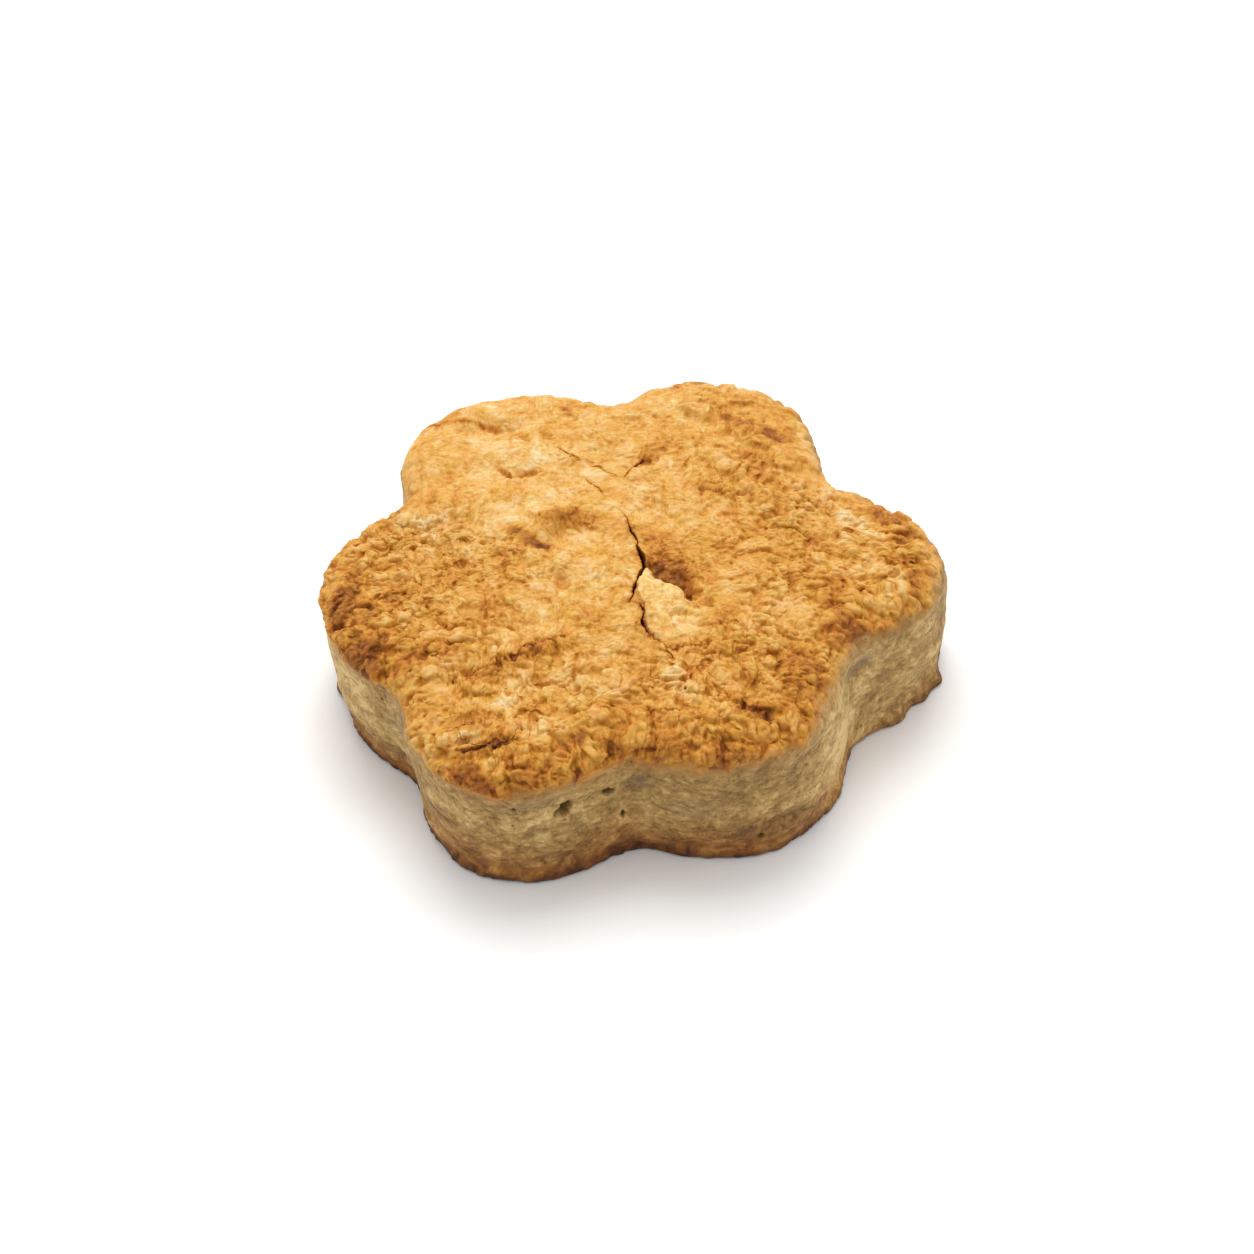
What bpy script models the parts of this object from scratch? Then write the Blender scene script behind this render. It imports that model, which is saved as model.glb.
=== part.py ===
"""A thick six-lobed butterscotch cookie, baked in one piece.

A flower outline is carried up from a flat base: a browned foot that flares a little, a nearly upright
wall, a rounded rim and a craggy top. The top carries a main crack, a lower crack that turns aside,
a hollow, a raised flake between them and a fold on the back left lobe; the front wall has two small
holes. Lengths are in metres, +Z is up, the origin is at the middle of the base, and -Y is the front.
"""
from itertools import product
from math import cos, pi, radians, sin

import bmesh
import bpy
import numpy as np

MM = 0.001

# --- the body ---------------------------------------------------------------------------------
HEIGHT = 16.6 * MM          # base to the edge of the top
RIM_WIDTH = 4.1 * MM        # how far in from the wall the rounded rim begins
RIM_DROP = 3.0 * MM         # how far down the wall the rounded rim ends
RIM_STEPS = 4
FOOT_FLARE = 0.2 * MM       # how far the foot stands out past the wall
FOOT_HEIGHT = 1.5 * MM
FOOT_RAGGED = (2.4 * MM, 0.22 * MM)     # wavelength and size of the foot's crumbling edge
FOOT_UNDERCUT = 0.45 * MM   # how far the edge of the base face lies in from the foot
WALL_BULGE = 0.3 * MM       # the wall swells a little below the rim
CROWN = 0.5 * MM            # the middle of the top above its edge
LEAN = (-1.45 * MM, -0.9 * MM)      # how far the top has slid over the base
TILT = (0.012, -0.018)      # rise of the top along +X and +Y
ORIGIN_SHIFT = (-1.7 * MM, 0.8 * MM)      # from the middle of the flower to the middle of the box

# each lobe: reach of its centre, bearing in degrees, radius, sideways stretch
LOBES = {
    "right": (22.5 * MM, 1, 13.0 * MM, 0.88),
    "back_right": (22.5 * MM, 60, 11.5 * MM, 1.0),
    "back_left": (22.5 * MM, 122, 9.5 * MM, 1.2),
    "left": (22.5 * MM, 191, 8.25 * MM, 1.4),
    "front_left": (22.5 * MM, 246, 11.5 * MM, 0.9),
    "front_right": (21.5 * MM, 303.5, 10.25 * MM, 1.13),
}
CORE_RADIUS = 19.25 * MM
LOBE_BLEND = 3.2 * MM       # how softly the notches between the lobes are filled

# where the lower wall tucks in, or crumb clumps on the foot stand out:
# bearing in degrees, half width along the wall, how far up it fades, how far out
FOOT_SWELLS = {
    "left_tuck": (193, 5.5 * MM, 9.0 * MM, -0.6 * MM),
    "left_clump": (189, 1.6 * MM, 3.0 * MM, 0.5 * MM),
    "right_tuck": (347, 8.0 * MM, 10.0 * MM, -1.3 * MM),
    "right_clump": (354, 1.5 * MM, 4.0 * MM, 0.9 * MM),
    "right_front_clump": (343, 1.6 * MM, 2.6 * MM, 0.8 * MM),
}

# --- the relief -------------------------------------------------------------------------------
SEED = 11
LATTICE_SIZE = 32
LAYER_SHIFT = 7.31          # how far apart in the lattice the layers of relief are read
UNDULATION = (13.0 * MM, 0.45 * MM)     # wavelength, height
LUMPS = (4.6 * MM, 0.45 * MM)
CRAGS = (3.0 * MM, 0.65 * MM)           # size of a crag, how far it stands up
CRAG_EDGE = 0.4             # share of a crag's size over which its sides rise
LEAST_CRAG = 0.4            # height of the lowest crag, against the highest
CRAG_WARP = 1.1 * MM        # how far the crags' outlines wander
CALM_RADIUS = 20.0 * MM     # the top is calmer within this reach of its middle
CALM_SHARE = 0.45           # height of the crags there, against those of the lobes
STRIATION = (7.0 * MM, 2.4 * MM, 0.3 * MM)      # length along the wall, spacing up it, height

# the hollow beside the main crack: centre, reach across and along, depth
HOLLOW = ((5.4 * MM, -3.3 * MM), (3.2 * MM, 1.9 * MM), 1.5 * MM)
# the flake below it: centre, reach across and along, height
FLAKE = ((5.2 * MM, -10.0 * MM), (3.6 * MM, 4.9 * MM), 0.9 * MM)
# grooves pressed into the top: route, half width, depth
GROOVES = {
    "fold": (((-22.0, 19.0), (-20.3, 20.8), (-16.5, 20.6), (-12.5, 20.6)), 1.2 * MM, 0.55 * MM),
    "crease": (((-12.7, 11.9), (-10.0, 13.0)), 1.2 * MM, 0.6 * MM),
    "ledge": (((-8.4, 1.6), (-6.0, 3.2), (-2.6, 4.2)), 1.3 * MM, 0.7 * MM),
    "dimple": (((-6.4, -5.3), (-5.8, -4.9)), 1.4 * MM, 0.6 * MM),
}

# open cracks: route, half width and depth at each point, all in millimetres
CRACKS = {
    "main": (
        ((-0.2, 6.1), (0.7, 4.2), (0.9, 2.8), (1.8, 0.2), (1.7, -0.4), (2.3, -2.0), (2.4, -3.8),
         (1.8, -5.4), (1.3, -7.3), (0.9, -8.7)),
        (0.1, 0.12, 0.18, 0.22, 0.2, 0.28, 0.34, 0.3, 0.26, 0.1),
        (0.7, 1.2, 1.8, 2.2, 2.2, 2.8, 3.4, 3.0, 2.2, 0.8),
    ),
    "lower": (
        ((2.0, -9.1), (2.5, -10.3), (2.2, -11.5), (2.3, -12.2), (2.9, -13.5), (4.5, -15.3), (5.3, -17.0)),
        (0.1, 0.22, 0.28, 0.25, 0.2, 0.2, 0.1),
        (0.8, 1.8, 2.2, 2.0, 1.6, 1.4, 0.7),
    ),
    "side": (
        ((4.9, -15.1), (6.2, -14.8), (7.3, -14.6), (8.5, -13.6), (9.7, -12.2)),
        (0.12, 0.18, 0.18, 0.15, 0.1),
        (1.0, 1.2, 1.2, 0.9, 0.6),
    ),
    "front_crease": (
        ((-16.0, -28.3), (-14.5, -28.8), (-13.0, -28.2), (-11.0, -27.8)),
        (0.15, 0.35, 0.4, 0.15),
        (0.7, 1.4, 1.4, 0.7),
    ),
}
CRACK_RISE = 1.5 * MM       # the crack cutters reach this far above the top

# holes in the front wall: bearing in degrees, height, half length, half height
WALL_HOLES = {
    "hole_left": (261, 10.6 * MM, 0.95 * MM, 0.6 * MM),
    "hole_right": (269.5, 10.2 * MM, 0.6 * MM, 0.65 * MM),
}

# --- the mesh ---------------------------------------------------------------------------------
GRID = 52                   # cells along each side of the top; the wall has four times as many
WALL_RINGS = (0.78, 0.56, 0.34, 0.16)       # shares of the way from the base to the rim
FOOT_RING = 0.35            # share of the foot's height at which it stands out most
SOLVER_STEPS = 24
SOLVER_DAMPING = 0.9
LEAST_SLOPE = 0.3
PROBE = 0.05 * MM           # step for slopes

CRUST_COLOUR = (0.58, 0.28, 0.065, 1.0)
CRUST_ROUGHNESS = 0.75

random = np.random.default_rng(SEED)
LATTICE = random.random((LATTICE_SIZE,) * 3)
JITTER = random.random((LATTICE_SIZE, LATTICE_SIZE, LATTICE_SIZE, 3))


def noise(points, wavelength, layer):
    """Smooth random value from -1 to 1, blended between the corners of a random lattice."""
    place = points / wavelength + layer * LAYER_SHIFT
    cell = np.floor(place).astype(int)
    share = place - cell
    share = share * share * (3 - 2 * share)
    value = np.zeros(len(points))
    for corner in product((0, 1), repeat=3):
        weight = np.prod(np.where(corner, share, 1 - share), axis=1)
        value += weight * LATTICE[tuple(((cell + corner) % LATTICE_SIZE).T)]
    return value * 2 - 1


def crags(points, size, layer):
    """Broken plates: each scattered seed has its own height, which falls to 0 halfway to the next."""
    place = points / size + layer * LAYER_SHIFT
    cell = np.floor(place).astype(int)
    nearest = np.full(len(points), np.inf)
    second = nearest.copy()
    height = np.zeros(len(points))
    for step in product((-1, 0, 1), repeat=3):
        pick = tuple(((cell + step) % LATTICE_SIZE).T)
        gap = np.linalg.norm(place - (cell + step + JITTER[pick]), axis=1)
        closer = gap < nearest
        second = np.where(closer, nearest, np.minimum(second, gap))
        nearest = np.where(closer, gap, nearest)
        height = np.where(closer, LATTICE[pick], height)
    return (LEAST_CRAG + (1 - LEAST_CRAG) * height) * smooth(second - nearest, 0, CRAG_EDGE)


def smooth(value, low, high):
    """0 below low and 1 above high, with a soft step between."""
    share = np.clip((value - low) / (high - low), 0, 1)
    return share * share * (3 - 2 * share)


def outline_field(x, y):
    """Below 0 inside the flower: the soft least of the distances to the lobes' discs and the core."""
    gaps = []
    for reach, bearing, radius, stretch in LOBES.values():
        turn = radians(bearing)
        along = (x - reach * cos(turn)) * cos(turn) + (y - reach * sin(turn)) * sin(turn)
        across = (y - reach * sin(turn)) * cos(turn) - (x - reach * cos(turn)) * sin(turn)
        scaled = np.hypot(along, across / stretch)
        slope = np.hypot(along, across / stretch ** 2) / np.maximum(scaled, 1e-9)
        gaps.append((scaled - radius) / np.maximum(slope, 1e-6))
    gaps.append(np.hypot(x, y) - CORE_RADIUS)
    gaps = np.array(gaps)
    least = gaps.min(axis=0)
    return least - LOBE_BLEND * np.log(np.exp(-(gaps - least) / LOBE_BLEND).sum(axis=0))


def outline(angle):
    """The wall's points and outward directions: Newton's steps outward along each bearing."""
    away = np.array([np.cos(angle), np.sin(angle)])
    reach = np.full(angle.shape, CORE_RADIUS)
    for _ in range(SOLVER_STEPS):
        here = outline_field(*(away * reach))
        slope = (outline_field(*(away * (reach + PROBE))) - here) / PROBE
        reach = reach - SOLVER_DAMPING * here / np.maximum(slope, LEAST_SLOPE)
    x, y = away * reach
    normal = np.array([
        outline_field(x + PROBE, y) - outline_field(x - PROBE, y),
        outline_field(x, y + PROBE) - outline_field(x, y - PROBE),
    ])
    return np.array([x, y]).T, (normal / np.linalg.norm(normal, axis=0)).T


def wall_offset(height):
    """How far the wall stands out from the outline: the foot's flare, then a slow swell."""
    flare = FOOT_FLARE * np.exp(-((height / FOOT_HEIGHT) ** 2))
    return flare + WALL_BULGE * np.sin(pi * height / (HEIGHT - RIM_DROP)) ** 2


def profile():
    """Height and offset of each ring of the mesh, from the edge of the top down to the base."""
    rings = []
    for step in range(RIM_STEPS + 1):
        bend = 0.5 * pi * (1 - step / RIM_STEPS)
        rings.append((HEIGHT - RIM_DROP * (1 - sin(bend)), -RIM_WIDTH * (1 - cos(bend))))
    for share in WALL_RINGS:
        height = share * (HEIGHT - RIM_DROP)
        rings.append((height, wall_offset(height)))
    rings.append((FOOT_RING * FOOT_HEIGHT, FOOT_FLARE))
    rings.append((0.0, FOOT_FLARE - FOOT_UNDERCUT))
    return np.array(rings)


def foot_growth(angle, height, spots):
    """How far the lower wall stands out or tucks in, with a crumbling edge along the foot."""
    wavelength, size = FOOT_RAGGED
    ragged = size * noise(np.column_stack([spots, 0 * height]), wavelength, 8)
    growth = ragged * (1 - smooth(height, 0.5 * FOOT_HEIGHT, FOOT_HEIGHT))
    for bearing, width, fade, reach in FOOT_SWELLS.values():
        turn = np.abs((angle - radians(bearing) + pi) % (2 * pi) - pi)
        along = turn * np.linalg.norm(spots, axis=1)
        growth += reach * np.exp(-((along / width) ** 2)) * (1 - smooth(height, 0.0, fade))
    return growth


def square_to_disc(a, b):
    """Share of the radius and bearing of a point of the square, its rings kept as even circles."""
    share = np.maximum(np.abs(a), np.abs(b))
    wide = np.abs(a) >= np.abs(b)
    lead = np.where(wide, a, b)
    ratio = np.where(wide, b, a) / np.where(lead == 0, 1, lead)
    bearing = np.where(wide, pi / 4 * ratio, pi / 2 - pi / 4 * ratio)
    return share, np.where(lead < 0, bearing + pi, bearing)


def place(layout):
    """Moves the square drum to the cookie: its top to the crown, its rings to the rim and wall."""
    share, angle = square_to_disc(layout[:, 0], layout[:, 1])
    level = np.rint(-layout[:, 2]).astype(int)
    height, offset = profile()[level].T
    spot, away = outline(angle)
    xy = (spot + away * (offset + foot_growth(angle, height, spot))[:, None]) * share[:, None]
    lift = height / HEIGHT
    crown = CROWN * (1 - (np.hypot(*xy.T) / (CORE_RADIUS + RIM_WIDTH)) ** 2) * lift ** 4
    xy = xy + np.outer(lift, LEAN)
    z = height + crown + lift * (xy @ np.array(TILT))
    return np.column_stack([xy, z])


def near_route(points, route):
    """Distance on the plan from each point to a route of straight runs."""
    best = np.full(len(points), np.inf)
    route = np.array(route) * MM
    for start, end in zip(route[:-1], route[1:]):
        run = end - start
        share = np.clip(((points[:, :2] - start) @ run) / (run @ run), 0, 1)
        best = np.minimum(best, np.linalg.norm(points[:, :2] - start - share[:, None] * run, axis=1))
    return best


def mound(points, centre, reach):
    """1 in the middle of an oval patch of the top, falling softly to 0 past its edge."""
    gap = (points[:, :2] - np.array(centre)) / np.array(reach)
    return np.exp(-(gap ** 2).sum(axis=1) ** 1.5)


def relief(points):
    """How far each point stands out: swells, lumps and crags on the crust, striations on the wall."""
    crust = smooth(points[:, 2], HEIGHT - 1.3 * RIM_DROP, HEIGHT - 0.5 * RIM_DROP)
    clear = smooth(points[:, 2], 0.2 * FOOT_HEIGHT, FOOT_HEIGHT)
    calm = smooth(np.hypot(points[:, 0], points[:, 1]), 0.5 * CALM_RADIUS, CALM_RADIUS)
    rough = CALM_SHARE + (1 - CALM_SHARE) * calm
    warp = np.column_stack([noise(points, LUMPS[0], layer) for layer in (3, 4, 5)]) * CRAG_WARP
    inner = 1 - smooth(np.hypot(points[:, 0], points[:, 1]), CORE_RADIUS, CORE_RADIUS + 2 * RIM_WIDTH)
    out = UNDULATION[1] * noise(points, UNDULATION[0], 1) * crust * inner
    out += LUMPS[1] * noise(points, LUMPS[0], 2) * (0.4 + 0.6 * crust)
    out += CRAGS[1] * crags(points + warp, CRAGS[0], 1) * rough * crust
    length, spacing, height = STRIATION
    flat = points * np.array([1, 1, length / spacing])
    out += height * noise(flat, length, 6) * (1 - crust)
    centre, reach, depth = HOLLOW
    out -= depth * mound(points, centre, reach) * crust
    centre, reach, depth = FLAKE
    out += depth * mound(points, centre, reach) * crust
    for route, width, depth in GROOVES.values():
        out -= depth * np.exp(-((near_route(points, route) / width) ** 2)) * crust
    return out * clear


def vertex_array(bm):
    return np.array([vertex.co for vertex in bm.verts])


def set_vertices(bm, points):
    for vertex, point in zip(bm.verts, points):
        vertex.co = point


def shift_to_origin(points):
    return points + np.array([*ORIGIN_SHIFT, 0.0])


def cookie_mesh():
    """A square grid with its edges extruded down ring by ring, closed below, then moved to shape."""
    bm = bmesh.new()
    bmesh.ops.create_grid(bm, x_segments=GRID, y_segments=GRID, size=1)
    border = [edge for edge in bm.edges if edge.is_boundary]
    for _ in range(len(profile()) - 1):
        made = bmesh.ops.extrude_edge_only(bm, edges=border)["geom"]
        border = [item for item in made if isinstance(item, bmesh.types.BMEdge) and item.is_boundary]
        for vertex in {vertex for edge in border for vertex in edge.verts}:
            vertex.co.z -= 1
    base = bmesh.ops.holes_fill(bm, edges=border, sides=0)["faces"]
    bmesh.ops.poke(bm, faces=base)
    bm.verts.ensure_lookup_table()
    set_vertices(bm, place(vertex_array(bm)))
    bmesh.ops.recalc_face_normals(bm, faces=bm.faces)
    bm.normal_update()
    points = vertex_array(bm)
    out = np.array([vertex.normal for vertex in bm.verts])
    points = points + out * relief(points)[:, None]
    set_vertices(bm, shift_to_origin(points))
    bmesh.ops.triangulate(bm, faces=bm.faces, quad_method="BEAUTY")
    mesh = bpy.data.meshes.new("cookie")
    bm.to_mesh(mesh)
    bm.free()
    return mesh


def top_height(x, y):
    """Height of the top at a point of the plan, crags left out."""
    crown = CROWN * (1 - (np.hypot(x, y) / (CORE_RADIUS + RIM_WIDTH)) ** 2)
    return HEIGHT + crown + TILT[0] * x + TILT[1] * y


def crack_cutter(name, route, widths, depths):
    """A wedge along the crack's route: a triangle at each point, its tip down, joined and capped."""
    route = np.array(route) * MM
    run = np.gradient(route, axis=0)
    side = np.column_stack([-run[:, 1], run[:, 0]]) / np.linalg.norm(run, axis=1)[:, None]
    bm = bmesh.new()
    sections = []
    for spot, across, width, depth in zip(route, side, np.array(widths) * MM, np.array(depths) * MM):
        top = top_height(*spot)
        spread = across * width * (1 + CRACK_RISE / depth)
        corners = [(*(spot + spread), top + CRACK_RISE), (*(spot - spread), top + CRACK_RISE),
                   (*spot, top - depth)]
        sections.append([bm.verts.new(shift_to_origin(np.array(corner))) for corner in corners])
    for here, there in zip(sections[:-1], sections[1:]):
        for k in range(3):
            bm.faces.new((here[k], here[(k + 1) % 3], there[(k + 1) % 3], there[k]))
    bm.faces.new(sections[0])
    bm.faces.new(sections[-1])
    bmesh.ops.recalc_face_normals(bm, faces=bm.faces)
    return cutter_object(name, bm)


def hole_cutter(name, bearing, height, half_length, half_height):
    """A flattened ball set into the wall, long side along it."""
    spot, away = outline(np.array([radians(bearing)]))
    lean = np.array(LEAN) * height / HEIGHT
    centre = np.array([*(spot[0] + lean + away[0] * wall_offset(height)), height])
    along = np.array([away[0][1], -away[0][0]])
    bm = bmesh.new()
    bmesh.ops.create_icosphere(bm, subdivisions=1, radius=1)
    for vertex in bm.verts:
        a, b, c = vertex.co
        plan = along * a * half_length + away[0] * b * half_length * 1.2
        vertex.co = shift_to_origin(centre + np.array([*plan, c * half_height]))
    return cutter_object(name, bm)


def cutter_object(name, bm):
    mesh = bpy.data.meshes.new(name)
    bm.to_mesh(mesh)
    bm.free()
    cutter = bpy.data.objects.new(name, mesh)
    bpy.context.scene.collection.objects.link(cutter)
    cutter.hide_render = True
    cutter.display_type = "WIRE"
    return cutter


def baked_crust():
    material = bpy.data.materials.new("baked_crust")
    material.use_nodes = True
    shader = material.node_tree.nodes["Principled BSDF"]
    shader.inputs["Base Color"].default_value = CRUST_COLOUR
    shader.inputs["Roughness"].default_value = CRUST_ROUGHNESS
    shader.inputs["Metallic"].default_value = 0.0
    return material


def build_cookie():
    """The one solid: the relief body, with its cracks and wall holes cut by Booleans."""
    cookie = bpy.data.objects.new("cookie", cookie_mesh())
    bpy.context.scene.collection.objects.link(cookie)
    cookie.data.materials.append(baked_crust())
    cutters = [crack_cutter(f"crack_{name}", *values) for name, values in CRACKS.items()]
    cutters += [hole_cutter(name, *values) for name, values in WALL_HOLES.items()]
    for cutter in cutters:
        cut = cookie.modifiers.new(cutter.name, "BOOLEAN")
        cut.operation = "DIFFERENCE"
        cut.solver = "EXACT"
        cut.object = cutter
    return cookie


def main():
    for thing in list(bpy.data.objects):
        bpy.data.objects.remove(thing, do_unlink=True)
    build_cookie()


main()
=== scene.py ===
"""The looks of a thick six-lobed butterscotch cookie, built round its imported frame.

One continuous skin stands for the cookie: a flower outline carried up from a browned foot, along a
pale upright wall and over a rounded rim to a craggy golden top with open cracks, a hollow and a
raised flake. Its relief is a sum of named layers, from swells 13 mm across down to threads of 0.3 mm.
The skin is shared out between four quarters of crust and two halves of wall, each closed to the
cookie's middle. Lengths are in metres, +Z is up and -Y is the front.
"""
from itertools import product
from math import cos, pi, radians, sin

import bpy
import numpy as np
from mathutils import Matrix, Vector


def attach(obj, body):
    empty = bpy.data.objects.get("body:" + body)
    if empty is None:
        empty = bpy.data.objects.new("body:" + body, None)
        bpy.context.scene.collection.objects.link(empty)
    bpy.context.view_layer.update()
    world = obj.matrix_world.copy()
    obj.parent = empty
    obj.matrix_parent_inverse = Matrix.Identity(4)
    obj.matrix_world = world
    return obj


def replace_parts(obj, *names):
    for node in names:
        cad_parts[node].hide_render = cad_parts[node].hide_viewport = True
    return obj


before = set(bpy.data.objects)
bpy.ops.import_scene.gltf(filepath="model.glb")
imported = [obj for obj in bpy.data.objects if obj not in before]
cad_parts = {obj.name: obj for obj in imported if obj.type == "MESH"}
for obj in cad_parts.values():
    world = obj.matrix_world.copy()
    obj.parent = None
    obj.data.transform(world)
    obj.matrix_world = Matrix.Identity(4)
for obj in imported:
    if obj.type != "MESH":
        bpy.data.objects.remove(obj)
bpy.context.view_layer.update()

MM = 0.001
NODE = "cookie"

# --- the body, as the solid has it --------------------------------------------------------------
HEIGHT = 16.6 * MM          # base to the edge of the top
RIM_WIDTH = 4.1 * MM        # how far in from the wall the rounded rim begins
RIM_DROP = 3.0 * MM         # how far down the wall the rounded rim ends
FOOT_FLARE = 0.2 * MM       # how far the foot stands out past the wall
FOOT_HEIGHT = 1.5 * MM
FOOT_RAGGED = (2.4 * MM, 0.22 * MM)     # wavelength and size of the foot's crumbling edge
FOOT_UNDERCUT = 0.45 * MM   # how far the edge of the base face lies in from the foot
FOOT_RING = 0.35            # share of the foot's height at which it stands out most
WALL_BULGE = 0.3 * MM       # the wall swells a little below the rim
CROWN = 0.5 * MM            # the middle of the top above its edge
LEAN = (-1.45 * MM, -0.9 * MM)          # how far the top has slid over the base
TILT = (0.012, -0.018)      # rise of the top along +X and +Y
ORIGIN_SHIFT = np.array([-1.7 * MM, 0.8 * MM, 0.0])     # from the flower's middle to the box's middle

# each lobe: reach of its centre, bearing in degrees, radius, sideways stretch
LOBES = {
    "right": (22.5 * MM, 1, 13.0 * MM, 0.88),
    "back_right": (22.5 * MM, 60, 11.5 * MM, 1.0),
    "back_left": (22.5 * MM, 122, 9.5 * MM, 1.2),
    "left": (22.5 * MM, 191, 8.25 * MM, 1.4),
    "front_left": (22.5 * MM, 246, 11.5 * MM, 0.9),
    "front_right": (21.5 * MM, 303.5, 10.25 * MM, 1.13),
}
CORE_RADIUS = 19.25 * MM
LOBE_BLEND = 3.2 * MM       # how softly the notches between the lobes are filled

# where the lower wall tucks in, or crumb clumps on the foot stand out:
# bearing in degrees, half width along the wall, how far up it fades, how far out
FOOT_SWELLS = {
    "left_tuck": (193, 5.5 * MM, 9.0 * MM, -0.6 * MM),
    "left_clump": (189, 1.6 * MM, 3.0 * MM, 0.8 * MM),
    "right_tuck": (348, 8.0 * MM, 10.0 * MM, -1.2 * MM),
    "right_front": (340, 4.0 * MM, 6.0 * MM, 0.75 * MM),
    "right_clump": (354, 1.5 * MM, 4.0 * MM, 1.3 * MM),
    "right_middle_clump": (349, 1.4 * MM, 2.4 * MM, 1.1 * MM),
    "right_front_clump": (343, 1.6 * MM, 2.6 * MM, 0.8 * MM),
}

# where the rim is drawn in or stands out: bearing in degrees, half width along the wall, how far out
RIM_SWELLS = {
    "left_end": (195, 4.0 * MM, -0.35 * MM),
    "left_back": (163, 5.0 * MM, -0.5 * MM),
    "back_left_shoulder": (118, 3.5 * MM, -0.7 * MM),
    "back_notch": (75, 4.0 * MM, 0.7 * MM),
    "back_right": (56, 6.0 * MM, -0.3 * MM),
    "right_back_notch": (24, 5.0 * MM, -0.8 * MM),
    "right_end": (2, 4.0 * MM, 0.3 * MM),
}
RIM_SWELL_RISE = (5.0 * MM, 12.0 * MM)  # heights between which they come in

# --- the broad relief, as the solid has it ------------------------------------------------------
SEED = 11
LATTICE_SIZE = 32
LAYER_SHIFT = 7.31          # how far apart in the lattice the numbered layers of noise are read
UNDULATION = (13.0 * MM, 0.45 * MM)     # wavelength, height
LUMPS = (4.6 * MM, 0.45 * MM)
CRAGS = (3.0 * MM, 0.65 * MM)           # size of a crag, how far it stands up
CRAG_EDGE = 0.4             # share of a crag's size over which its sides rise
LEAST_CRAG = 0.4            # height of the lowest crag, against the highest
CRAG_WARP = 1.1 * MM        # how far the crags' outlines wander
CALM_RADIUS = 20.0 * MM     # the top is calmer within this reach of its middle
CALM_SHARE = 0.45           # height of the crags there, against those of the lobes
SMOOTH_LOBE = ((-14 * MM, 18 * MM), (15 * MM, 13 * MM))     # the smoother back left: middle, reach
SMOOTH_SHARE = 0.75         # how much of its crags is gone
SMOOTH_CRUMB = 0.35         # how much of its crumb is gone
BACK_CALM = (8 * MM, 24 * MM, 0.4)      # places along Y between which the crumb calms, and how much
LUMPS_ON_WALL = 0.4         # height of the lumps on the wall, against those of the crust
STRIATION = (7.0 * MM, 2.4 * MM, 0.3 * MM)      # length along the wall, spacing up it, height

# grooves pressed into the top: route in millimetres, half width, depth
GROOVES = {
    "fold": (((-22.0, 19.0), (-20.3, 20.8), (-16.5, 20.6), (-12.5, 20.6)), 1.2 * MM, 0.55 * MM),
    "crease": (((-12.7, 11.9), (-10.0, 13.0)), 1.2 * MM, 0.6 * MM),
    "ledge": (((-8.4, 1.6), (-6.0, 3.2), (-2.6, 4.2)), 1.3 * MM, 0.7 * MM),
    "dimple": (((-6.4, -5.3), (-5.8, -4.9)), 1.4 * MM, 0.6 * MM),
}

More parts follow.
